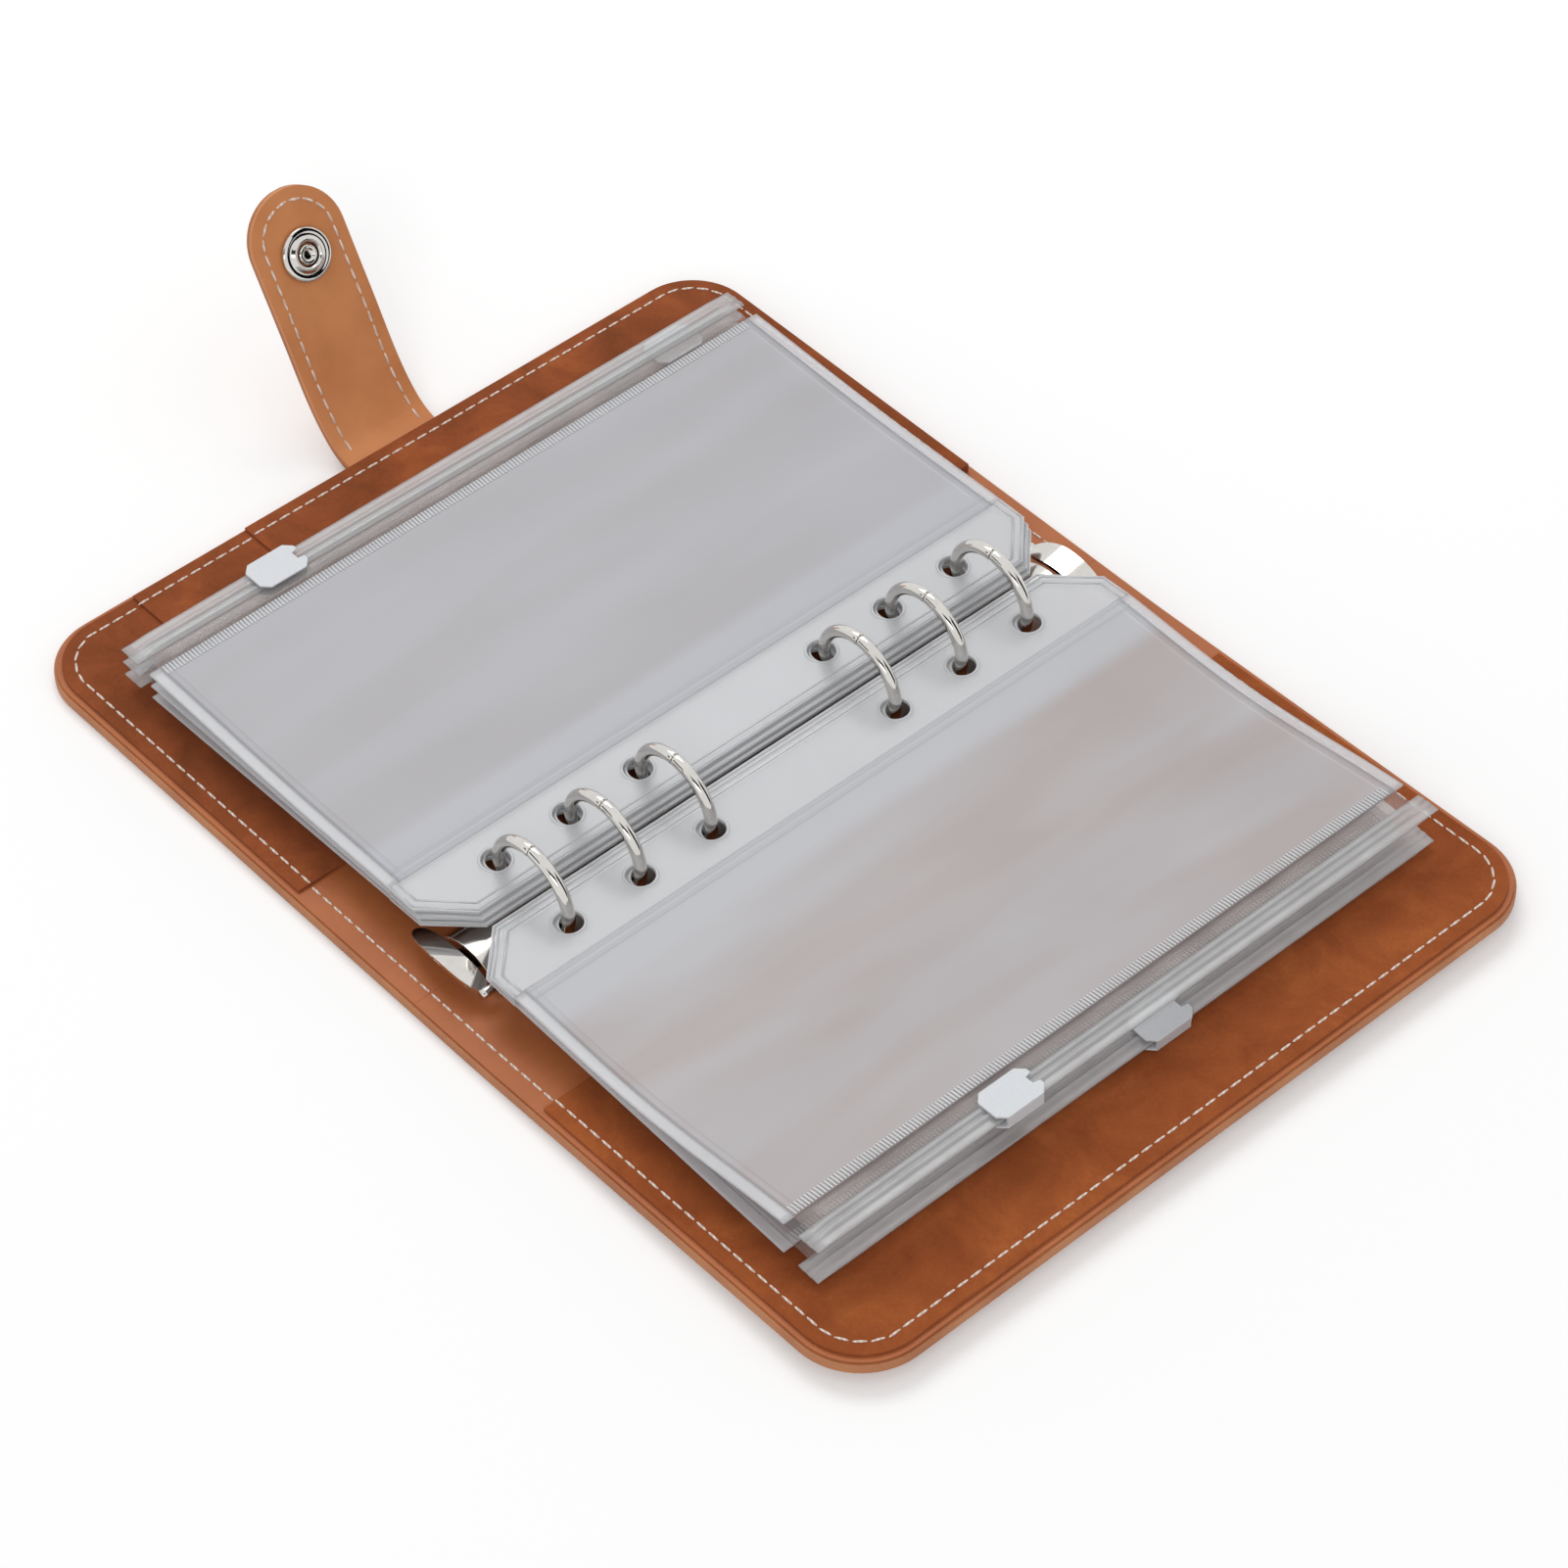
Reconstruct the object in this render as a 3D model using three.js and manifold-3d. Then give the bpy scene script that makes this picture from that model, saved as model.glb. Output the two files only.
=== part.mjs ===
import * as THREE from "three";
import { mergeVertices } from "three/addons/utils/BufferGeometryUtils.js";
import Module from "manifold-3d";

const wasm = await Module();
wasm.setup();

// Cash envelope wallet, lying open on a table. Millimetres.
// X runs to the right cover, Y along the spine, Z up from the table.

// Driving dimensions: the cover
const coverLength = 191.4;
const coverReach = 131.3;
const spineWidth = 40;
const cornerRadius = 16;
const panelReach = 38.8;

// Driving dimensions: the six-ring mechanism
const holePitch = 19;
const middlePitch = 51;
const ringRadius = 11;
const wireDiameter = 2.8;
const ringCentreHeight = 13.8;
const plateWidth = 20;
const plateLength = 162;
const plateRise = 5.6;
const rivetFromRing = 6.5;

// Driving dimensions: the zip envelopes
const envelopeLength = 170;
const holeDiameter = 6.2;
const holeInset = 7.7;
const holeLine = ringRadius + 0.1;
const pouchEdge = 100;
const zipEdge = 109;
const cornerCut = 9.5;
const sliderLength = 13;
const topStripDrop = 0.6;
const stripPitch = 1.2;
const leftTopEdge = 14.6;
const leftMiddleEdge = 11;
const leftLowEdge = 7.4;
const rightTopEdge = 17.5;
const rightLowEdge = 8.1;

// Driving dimensions: the strap and its snap
const strapWidth = 24.3;
const strapCentre = 5.4;
const snapFromTip = 15.5;
const snapDiameter = 12.4;
const snapHoleDiameter = 5;
const studFromEdge = 10;
const studHeight = 2.8;

// Layer heights of the covers, counted from the table
const fit = 0.3;
const skinThickness = 1;
const rimHeight = 2.2;
const rimWidth = 2.4;
const boardBottom = 1.2;
const boardTop = 2.1;
const liningBottom = 2.4;
const liningTop = 2.8;
const foldHeight = 2.9;
const panelTop = 3.6;
const liningInset = 1.8;
const pocketPitch = 0.7;
const pocketThickness = 0.5;
const foldX = spineWidth / 2;
const foldGap = 0.15;

const arcSteps = 8;

// Materials
const paint = (color, roughness, metalness = 0) =>
  new THREE.MeshStandardMaterial({ color, roughness, metalness });
const outerLeather = () => paint("#a8683c", 0.6);
const tanLining = () => paint("#af6e44", 0.55);
const suede = () => paint("#8a4d28", 0.9);
const greyBoard = () => paint("#8d877c", 0.9);
const nickel = () => paint("#c9c4ba", 0.22, 1);
const film = () => paint("#c3c5ca", 0.35);
const clearRail = () => paint("#d4d6d9", 0.25);
const whitePlastic = () => paint("#f1f1f0", 0.4);

// Geometry helpers
function signedVolume(geometry) {
  const p = geometry.getAttribute("position");
  const index = geometry.getIndex();
  const a = new THREE.Vector3();
  const b = new THREE.Vector3();
  const c = new THREE.Vector3();
  let sum = 0;
  for (let i = 0; i < index.count; i += 3) {
    a.fromBufferAttribute(p, index.getX(i));
    b.fromBufferAttribute(p, index.getX(i + 1));
    c.fromBufferAttribute(p, index.getX(i + 2));
    sum += a.dot(b.cross(c));
  }
  return sum;
}

function solidOf(geometry) {
  const bare = geometry.clone();
  bare.deleteAttribute("normal");
  bare.deleteAttribute("uv");
  const merged = mergeVertices(bare, 1e-4);
  const corners = Uint32Array.from(merged.getIndex().array);
  if (signedVolume(merged) < 0) {
    for (let i = 0; i < corners.length; i += 3) {
      const swap = corners[i + 1];
      corners[i + 1] = corners[i + 2];
      corners[i + 2] = swap;
    }
  }
  const vertProperties = Float32Array.from(merged.getAttribute("position").array);
  return new wasm.Manifold(new wasm.Mesh({ numProp: 3, vertProperties, triVerts: corners }));
}

function geometryOf(solid) {
  const mesh = solid.getMesh();
  const geometry = new THREE.BufferGeometry();
  geometry.setAttribute("position", new THREE.BufferAttribute(mesh.vertProperties, 3));
  geometry.setIndex(new THREE.BufferAttribute(mesh.triVerts, 1));
  geometry.computeVertexNormals();
  return geometry;
}

function cut(base, ...tools) {
  let solid = solidOf(base);
  for (const tool of tools) solid = solid.subtract(solidOf(tool));
  return geometryOf(solid);
}

function join(...geometries) {
  const [first, ...rest] = geometries.map(solidOf);
  return geometryOf(rest.reduce((sum, solid) => sum.add(solid), first));
}

const block = (x0, x1, y0, y1, z0, z1) =>
  new THREE.BoxGeometry(Math.abs(x1 - x0), Math.abs(y1 - y0), Math.abs(z1 - z0))
    .translate((x0 + x1) / 2, (y0 + y1) / 2, (z0 + z1) / 2);

const pin = (x, y, z0, z1, diameter, sides = 16) =>
  new THREE.CylinderGeometry(diameter / 2, diameter / 2, z1 - z0, sides)
    .rotateX(Math.PI / 2)
    .translate(x, y, (z0 + z1) / 2);

const turned = (profile, sides = 20) =>
  new THREE.LatheGeometry(profile.map(([r, z]) => new THREE.Vector2(r, z)), sides).rotateX(Math.PI / 2);

const slab = (points, z0, z1) =>
  new THREE.ExtrudeGeometry(new THREE.Shape(points), { depth: z1 - z0, bevelEnabled: false })
    .translate(0, 0, z0);

// A section drawn in X and Z, drawn out along Y and centred on it
const drawnAlongY = (points, length) =>
  new THREE.ExtrudeGeometry(new THREE.Shape(points), { depth: length, bevelEnabled: false })
    .rotateX(Math.PI / 2)
    .translate(0, length / 2, 0);

// A closed sheet between two faces, each a function of a stop across and a stop along
function sheet(across, along, upper, lower) {
  const positions = [];
  const corners = [];
  const columns = along.length;
  for (const face of [upper, lower]) {
    for (const a of across) for (const b of along) positions.push(...face(a, b));
  }
  const at = (side, i, j) => side * across.length * columns + i * columns + j;
  const quad = (a, b, c, d) => corners.push(a, b, c, a, c, d);
  for (let i = 0; i < across.length - 1; i += 1) {
    for (let j = 0; j < columns - 1; j += 1) {
      quad(at(0, i, j), at(0, i + 1, j), at(0, i + 1, j + 1), at(0, i, j + 1));
      quad(at(1, i, j + 1), at(1, i + 1, j + 1), at(1, i + 1, j), at(1, i, j));
    }
    quad(at(0, i + 1, 0), at(0, i, 0), at(1, i, 0), at(1, i + 1, 0));
    quad(at(0, i, columns - 1), at(0, i + 1, columns - 1), at(1, i + 1, columns - 1), at(1, i, columns - 1));
  }
  const last = across.length - 1;
  for (let j = 0; j < columns - 1; j += 1) {
    quad(at(0, 0, j), at(0, 0, j + 1), at(1, 0, j + 1), at(1, 0, j));
    quad(at(0, last, j + 1), at(0, last, j), at(1, last, j), at(1, last, j + 1));
  }
  const geometry = new THREE.BufferGeometry();
  geometry.setAttribute("position", new THREE.BufferAttribute(new Float32Array(positions), 3));
  geometry.setIndex(corners);
  geometry.setAttribute("normal", new THREE.BufferAttribute(new Float32Array(positions.length), 3));
  geometry.setAttribute("uv", new THREE.BufferAttribute(new Float32Array((positions.length / 3) * 2), 2));
  return geometry;
}

const steps = (count) => Array.from({ length: count + 1 }, (_, i) => i / count);

function piece(parent, name, geometry, material) {
  const mesh = new THREE.Mesh(geometry, material);
  mesh.name = name;
  parent.add(mesh);
  return mesh;
}

// Outline of a cover layer: square at the spine side, rounded at the outer corners
function coverOutline(side, inner, inset, near = -coverLength / 2, far = coverLength / 2) {
  const outer = coverReach - inset;
  const y0 = Math.max(near, -coverLength / 2 + inset);
  const y1 = Math.min(far, coverLength / 2 - inset);
  const radius = cornerRadius - inset;
  const points = [new THREE.Vector2(side * inner, y0)];
  const corner = (y, start, roundness) => {
    for (const t of steps(arcSteps)) {
      const angle = start + (t * Math.PI) / 2;
      const px = outer - roundness + roundness * Math.cos(angle);
      points.push(new THREE.Vector2(side * px, y + roundness * Math.sin(angle)));
    }
  };
  const nearIsEdge = near <= -coverLength / 2;
  if (nearIsEdge) corner(y0 + radius, -Math.PI / 2, radius);
  else points.push(new THREE.Vector2(side * outer, y0));
  corner(y1 - radius, 0, radius);
  points.push(new THREE.Vector2(side * inner, y1));
  return points;
}

function rectangle(x0, x1, y0, y1) {
  return [
    new THREE.Vector2(x0, y0),
    new THREE.Vector2(x1, y0),
    new THREE.Vector2(x1, y1),
    new THREE.Vector2(x0, y1),
  ];
}

const wallet = new THREE.Group();
const halfLength = coverLength / 2;

// Ring places along the spine, from the near end
const ringPlaces = [-1, 1].flatMap((end) =>
  [0, 1, 2].map((i) => end * (middlePitch / 2 + i * holePitch)),
).sort((a, b) => a - b);
const rivetPlace = middlePitch / 2 + 2 * holePitch + rivetFromRing;

// Spine: outer skin with turned ends, stiffener board and smooth lining
const rivetHoles = (diameter, z0, z1) => [-1, 1].map((end) => pin(0, end * rivetPlace, z0, z1, diameter));
const spineHalf = foldX - foldGap;
piece(
  wallet,
  "spine_skin",
  cut(
    slab(rectangle(-spineHalf, spineHalf, -halfLength, halfLength), 0, rimHeight),
    block(-foldX - 1, foldX + 1, -halfLength + rimWidth, halfLength - rimWidth, skinThickness, rimHeight + 1),
  ),
  outerLeather(),
);
const spineBoardHalf = 14;
piece(
  wallet,
  "spine_board",
  cut(
    slab(rectangle(-spineBoardHalf, spineBoardHalf, -halfLength + 3, halfLength - 3), boardBottom, boardTop),
    ...rivetHoles(5, 0, 4),
  ),
  greyBoard(),
);
piece(
  wallet,
  "spine_lining",
  cut(
    slab(
      rectangle(-spineHalf, spineHalf, -halfLength + liningInset, halfLength - liningInset),
      liningBottom,
      liningTop,
    ),
    ...rivetHoles(3.2, 2, 4),
  ),
  tanLining(),
);

// Arched cover plate: a bent strip of sheet with a slot where each wire comes through
const plateSheet = 0.8;
const plateFoot = liningTop + fit;
const archRadius = (plateWidth ** 2 / 4 + plateRise ** 2) / (2 * plateRise);
const archCentre = plateFoot + plateRise - archRadius;
const archSpan = Math.asin(plateWidth / 2 / archRadius);
const archPoint = (radius, angle) =>
  new THREE.Vector2(radius * Math.sin(angle), archCentre + radius * Math.cos(angle));
const archSection = [
  ...steps(14).map((t) => archPoint(archRadius, archSpan * (2 * t - 1))),
  ...steps(14).map((t) => archPoint(archRadius - plateSheet, archSpan * (1 - 2 * t))),
];
const slotHalf = wireDiameter / 2 + 0.45;
const slots = ringPlaces.flatMap((y) =>
  [-1, 1].map((side) => block(side * 5.5, side * 10.5, y - slotHalf, y + slotHalf, plateFoot + 1.25, 12)),
);
piece(
  wallet,
  "ring_cover_plate",
  cut(
    drawnAlongY(archSection, plateLength),
    block(-plateWidth, plateWidth, -plateLength, plateLength, 0, plateFoot),
    ...slots,
    ...rivetHoles(3.2, 2, 12),
  ),
  nickel(),
);

// Two rivets hold the plate through the lining and the board
const plateTop = plateFoot + plateRise;
[-1, 1].forEach((end, i) => {
  const rivet = piece(
    wallet,
    `plate_rivet_${i + 1}`,
    geometryOf(solidOf(turned([
      [0, boardBottom],
      [2.1, boardBottom],
      [2.1, boardBottom + 0.5],
      [1.25, boardBottom + 0.7],
      [1.25, plateTop + 0.15],
      [2.2, plateTop + 0.15],
      [2, plateTop + 0.6],
      [1.2, plateTop + 0.95],
      [0, plateTop + 1.05],
    ], 16))),
    nickel(),
  );
  rivet.position.y = end * rivetPlace;
});

// Hinge plates under the arch, each carrying six ring halves
const hingePlateReach = 8.2;
const hingePlateBottom = plateFoot + 0.1;
const hingePlateTop = hingePlateBottom + 0.7;
const hingePlateEnd = 73.5;
const wireFoot = hingePlateTop + fit;

class RingArc extends THREE.Curve {
  constructor(side) {
    super();
    this.side = side;
    this.start = Math.PI / 2 + 0.15 / ringRadius;
    this.end = Math.PI + Math.asin((ringCentreHeight - wireFoot - 0.5) / ringRadius);
  }

  getPoint(t, target = new THREE.Vector3()) {
    const angle = this.start + (this.end - this.start) * t;
    const x = -this.side * ringRadius * Math.cos(angle);
    return target.set(x, 0, ringCentreHeight + ringRadius * Math.sin(angle));
  }
}

function ringHalf(side) {
  const section = steps(10).slice(1).map((t) => {
    const angle = 2 * Math.PI * t;
    return new THREE.Vector2((wireDiameter / 2) * Math.cos(angle), (wireDiameter / 2) * Math.sin(angle));
  });
  const wire = new THREE.ExtrudeGeometry(new THREE.Shape(section), {
    steps: 12,
    bevelEnabled: false,
    extrudePath: new RingArc(side),
  });
  return cut(wire, block(-20, 20, -5, 5, 0, wireFoot));
}

for (const side of [-1, 1]) {
  const label = side < 0 ? "left" : "right";
  const notches = [-1, 1].map((end) => pin(0, end * rivetPlace, 0, 12, 5.4));
  piece(
    wallet,
    `${label}_hinge_plate`,
    cut(
      block(
        side * 0.15,
        side * hingePlateReach,
        -hingePlateEnd,
        hingePlateEnd,
        hingePlateBottom,
        hingePlateTop,
      ),
      ...notches,
    ),
    nickel(),
  );
  ringPlaces.forEach((y, i) => {
    const half = piece(wallet, `${label}_ring_${i + 1}`, ringHalf(side), nickel());
    half.position.y = y;
  });
}

// Opening levers: a rounded, slightly dished blade with a tongue that reaches the hinge plates
const leverPivotHeight = plateFoot + 1.9;
function lever(end) {
  const inner = plateLength / 2 + 0.4;
  const reach = 8.2;
  const bladeHalf = 9.8;
  const thickness = 1;
  const height = (x, y) =>
    leverPivotHeight + 0.3 + 1.8 * (1 - (x / bladeHalf) ** 2) + 0.22 * (y - inner) + thickness;
  const face = (drop) => (a, b) => {
    const x = bladeHalf * (2 * a - 1);
    const y = inner + b * reach * Math.sqrt(1 - 0.9 * (2 * a - 1) ** 2);
    return [x, end * y, height(x, y) - drop];
  };
  const blade = sheet(steps(12), steps(4), face(0), face(thickness));
  const tongueHalf = 3.4;
  const tongueBottom = leverPivotHeight - 0.3;
  const stem = (from, rise) =>
    block(-tongueHalf, tongueHalf, end * from, end * (inner + 0.8), tongueBottom, tongueBottom + rise);
  const tongue = stem(hingePlateEnd + 0.5, 0.8);
  const link = stem(inner - 0.8, 2.2);
  return join(blade, tongue, link);
}
piece(wallet, "near_lever", lever(-1), nickel());
piece(wallet, "far_lever", lever(1), nickel());

// Covers: skin with a turned rim, board, smooth lining and the suede pocket panels
const studX = coverReach - studFromEdge;
const studHoles = (diameter, z0, z1) => pin(studX, strapCentre, z0, z1, diameter);
const studDrop = foldHeight + studHeight;
const studArm = studX - foldX - 2.2;
const rightTilt = Math.atan2(studDrop, studArm) - Math.asin(foldHeight / Math.hypot(studDrop, studArm));

const leftCover = new THREE.Group();
wallet.add(leftCover);
const rightCover = new THREE.Group();
rightCover.position.set(foldX, 0, foldHeight);
rightCover.rotation.y = -rightTilt;
wallet.add(rightCover);
const rightLayers = new THREE.Group();
rightLayers.position.set(-foldX, 0, -foldHeight);
rightCover.add(rightLayers);

const edgeX = foldX + foldGap;
const boardInner = foldX + 4;
for (const [side, group] of [[-1, leftCover], [1, rightLayers]]) {
  const label = side < 0 ? "left" : "right";
  const skinTools = [slab(coverOutline(side, foldX - 2, rimWidth), skinThickness, rimHeight + 1)];
  const boardTools = [];
  if (side > 0) {
    skinTools.push(studHoles(3.4, -1, 4));
    boardTools.push(studHoles(8.6, 0, 4));
  }
  piece(
    group,
    `${label}_cover_skin`,
    cut(slab(coverOutline(side, edgeX, 0), 0, rimHeight), ...skinTools),
    outerLeather(),
  );
  piece(
    group,
    `${label}_cover_board`,
    cut(slab(coverOutline(side, boardInner, rimWidth + 0.6), boardBottom, boardTop), ...boardTools),
    greyBoard(),
  );
  piece(
    group,
    `${label}_cover_lining`,
    cut(slab(coverOutline(side, edgeX, liningInset), liningBottom, liningTop)),
    tanLining(),
  );
  piece(
    group,
    `${label}_pocket_panel`,
    cut(slab(coverOutline(side, panelReach, liningInset), liningTop + 0.2, panelTop)),
    suede(),
  );
}

// Two stepped card pockets on the left panel, each reaching from its open edge to the far end
const pocketEdges = [-68, -37.5];
pocketEdges.forEach((edge, i) => {
  const bottom = panelTop + 0.2 + i * pocketPitch;
  piece(
    leftCover,
    `left_card_pocket_${i + 1}`,
    cut(slab(coverOutline(-1, panelReach, liningInset, edge), bottom, bottom + pocketThickness)),
    suede(),
  );
});

// Snap stud on the outside of the right cover, and the rivet that holds it from within
const stud = piece(
  rightLayers,
  "snap_stud",
  geometryOf(solidOf(turned([
    [1.7, -0.1],
    [4.6, -0.1],
    [4.6, -0.5],
    [2.4, -0.9],
    [2.1, -1.6],
    [2.6, -2.2],
    [2.2, -studHeight],
    [1.7, -studHeight],
    [1.7, -0.1],
  ]))),
  nickel(),
);
stud.position.set(studX, strapCentre, 0);
const studRivet = piece(
  rightLayers,
  "snap_stud_rivet",
  geometryOf(solidOf(turned([
    [0, -2.3],
    [1.4, -2.3],
    [1.4, skinThickness + 0.3],
    [4, skinThickness + 0.3],
    [4, skinThickness + 0.8],
    [0, skinThickness + 0.8],
  ]))),
  nickel(),
);
studRivet.position.set(studX, strapCentre, 0);

// Zip envelopes. Each is drawn flat, out from the ring axis, and tipped at its line of holes.
const pouchStart = holeLine + 8.4;
const filmThickness = 0.5;
const pouchSwell = 0.7;
const outU = (u) => u - holeLine;

function pouch(side) {
  const inner = holeLine - holeInset;
  const half = envelopeLength / 2;
  const uStops = [inner, pouchStart, 31, 43, 60, 77, 89, pouchEdge - 4, pouchEdge];
  const yStops = [-half, -half + 4, -half + 15, -half + 30, 0, half - 30, half - 15, half - 4, half];
  const rise = (value, from, to) => {
    const t = Math.min(Math.max((value - from) / (to - from), 0), 1);
    return t * t * (3 - 2 * t);
  };
  const swell = (u, y) =>
    pouchSwell *
    rise(u, pouchStart, pouchStart + 22) *
    (1 - rise(u, pouchEdge - 22, pouchEdge - 4)) *
    rise(half - Math.abs(y), 4, 26);
  const face = (sign) => (u, y) => [side * outU(u), y, (sign * (filmThickness + swell(u, y))) / 2];
  const body = sheet(uStops, yStops, face(1), face(-1));
  const holes = ringPlaces.map((y) => pin(0, y, -2, 2, holeDiameter));
  const corners = [-1, 1].map((end) => {
    const triangle = [
      new THREE.Vector2(side * outU(inner - 1), end * (half - cornerCut - 1)),
      new THREE.Vector2(side * outU(inner + cornerCut + 1), end * (half + 1)),
      new THREE.Vector2(side * outU(inner - 1), end * (half + 1)),
    ];
    return slab(triangle, -2, 2);
  });
  return cut(body, ...holes, ...corners);
}

// Zip rails: a flange at the film, two interlocking ribs and a flat outer lip
function zipRails(side) {
  const start = pouchEdge + fit;
  const upper = [
    [start, 0.25],
    [start + 2.9, 0.25],
    [start + 3.2, 0.85],
    [start + 4, 0.85],
    [start + 4.3, 0.5],
    [start + 4.9, 0.5],
    [start + 5.2, 0.85],
    [start + 6, 0.85],
    [start + 6.3, 0.3],
    [zipEdge, 0.3],
  ];
  const points = upper.map(([u, n]) => new THREE.Vector2(side * outU(u), n));
  const below = [...upper].reverse().map(([u, n]) => new THREE.Vector2(side * outU(u), -n));
  return cut(drawnAlongY([...points, ...below], envelopeLength));
}

// Slider: an octagonal clip over the zip's outer edge, with a thumb notch in one end
function slider(side) {
  const inner = pouchEdge + 1.6;
  const outer = zipEdge + 1.2;
  const half = sliderLength / 2;
  const bevel = 1.8;
  const outline = [
    [inner + bevel, -half],
    [outer - bevel, -half],
    [outer, -half + bevel],
    [outer, half - bevel],
    [outer - bevel, half],
    [inner + bevel, half],
    [inner, half - bevel],
    [inner, -half + bevel],
  ].map(([u, y]) => new THREE.Vector2(side * outU(u), y));
  const thickness = 1.65;
  const middle = (inner + outer) / 2;
  const channel = block(side * outU(inner - 1), side * outU(zipEdge + 0.4), -half - 1, half + 1, -1.15, 1.15);
  const notch = block(side * outU(middle - 1.2), side * outU(middle + 1.2), half - 1.6, half + 1, -3, 3);
  return cut(slab(outline, -thickness, thickness), channel, notch);
}

// Strip heights stay under the ring axis, so that the leaves stack between the closed covers
const envelopes = [
  { name: "left_envelope_1", side: -1, below: 0, outer: leftTopEdge, slider: -46 },
  { name: "left_envelope_2", side: -1, below: 1, outer: leftMiddleEdge, slider: 66 },
  { name: "left_envelope_3", side: -1, below: 2, outer: leftLowEdge, slider: 52 },
  { name: "right_envelope_1", side: 1, below: 0, outer: rightTopEdge, slider: -32 },
  { name: "right_envelope_2", side: 1, below: 1, outer: rightLowEdge, slider: 9 },
];
for (const leaf of envelopes) {
  const group = new THREE.Group();
  const height = ringCentreHeight - topStripDrop - leaf.below * stripPitch;
  group.position.set(leaf.side * holeLine, 0, height);
  group.rotation.y = -leaf.side * Math.atan2(leaf.outer - height, zipEdge - holeLine);
  wallet.add(group);
  piece(group, leaf.name, pouch(leaf.side), film());
  piece(group, `${leaf.name}_zip`, zipRails(leaf.side), clearRail());
  const clip = piece(group, `${leaf.name}_slider`, slider(leaf.side), whitePlastic());
  clip.position.y = leaf.slider;
}

// Strap: two layers that leave the left cover's edge and curl up to a rounded tip
const strapLine = new THREE.CatmullRomCurve3([
  new THREE.Vector3(-coverReach - 0.6, 0, 2.1),
  new THREE.Vector3(-coverReach - 5.9, 0, 5.0),
  new THREE.Vector3(-coverReach - 12.0, 0, 12.2),
  new THREE.Vector3(-coverReach - 20.0, 0, 26.5),
  new THREE.Vector3(-coverReach - 27.6, 0, 40.0),
  new THREE.Vector3(-coverReach - 35.0, 0, 53.4),
], false, "centripetal");
const strapLength = strapLine.getLength();
const strapFace = (s) => {
  const point = strapLine.getPointAt(s);
  const tangent = strapLine.getTangentAt(s);
  return { point, normal: new THREE.Vector3(tangent.z, 0, -tangent.x) };
};
const snapAt = 1 - snapFromTip / strapLength;

function strapLayer(top, bottom) {
  const tipRadius = strapWidth / 2;
  const stations = steps(9).map((t) => t * (1 - tipRadius / strapLength));
  const tip = steps(6).slice(1).map((t) => 1 - (tipRadius / strapLength) * (1 - Math.sin((t * Math.PI) / 2)));
  const halfWidth = (s) => {
    const over = Math.max(s * strapLength - (strapLength - tipRadius), 0);
    return Math.max(Math.sqrt(Math.max(tipRadius ** 2 - over ** 2, 0)), 0.6);
  };
  const face = (offset) => (s, v) => {
    const { point, normal } = strapFace(s);
    const y = strapCentre + halfWidth(s) * (2 * v - 1);
    return [point.x + normal.x * offset, y, point.z + normal.z * offset];
  };
  return sheet([...stations, ...tip], steps(2), face(top), face(bottom));
}

function atSnap(geometry) {
  const { point, normal } = strapFace(snapAt);
  const turn = new THREE.Quaternion().setFromUnitVectors(new THREE.Vector3(0, 0, 1), normal);
  return geometry.applyQuaternion(turn).translate(point.x, strapCentre, point.z);
}

const strapLiningThickness = 0.8;
const strapSkinTop = -strapLiningThickness - 0.2;
const strapSkinBottom = strapSkinTop - 1.1;
const snapHole = () => atSnap(pin(0, 0, 2 * strapSkinBottom, -strapSkinBottom, snapHoleDiameter));
piece(wallet, "strap_lining", cut(strapLayer(0, -strapLiningThickness), snapHole()), tanLining());
piece(wallet, "strap_skin", cut(strapLayer(strapSkinTop, strapSkinBottom), snapHole()), outerLeather());

// Snap: a flanged socket on the strap's inner face, held by the post of the cap on its outer face
const snapRadius = snapDiameter / 2;
const socketSeat = 0.8;
piece(
  wallet,
  "snap_socket",
  geometryOf(solidOf(atSnap(turned([
    [2.6, socketSeat],
    [snapRadius, socketSeat],
    [snapRadius, socketSeat + 0.7],
    [snapRadius - 0.6, socketSeat + 1.1],
    [snapRadius - 1.6, socketSeat + 1],
    [3.6, socketSeat + 1.5],
    [3, socketSeat + 1.5],
    [2.6, socketSeat + 1],
    [2.6, socketSeat],
  ])))),
  nickel(),
);
piece(
  wallet,
  "snap_cap",
  geometryOf(solidOf(atSnap(turned([
    [0, strapSkinBottom - 1.7],
    [3.4, strapSkinBottom - 1.5],
    [5.6, strapSkinBottom - 0.9],
    [snapRadius, strapSkinBottom - 0.3],
    [2, strapSkinBottom - 0.3],
    [2.1, 1.4],
    [1.6, 1.8],
    [0, 1.4],
  ])))),
  nickel(),
);

export default wallet;
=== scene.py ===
# %% [markdown]
# # A six-ring cash envelope wallet
#
# The wallet lies open on a pale table. Its cover is imitation leather sewn over board, its rings are
# nickel-plated wire, and five frosted zip envelopes are threaded on them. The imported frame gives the
# place of every piece. This lesson dresses those pieces one at a time.

# %% Frame
import bpy
import bmesh
import math
from mathutils import Euler, Matrix, Vector, noise


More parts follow.
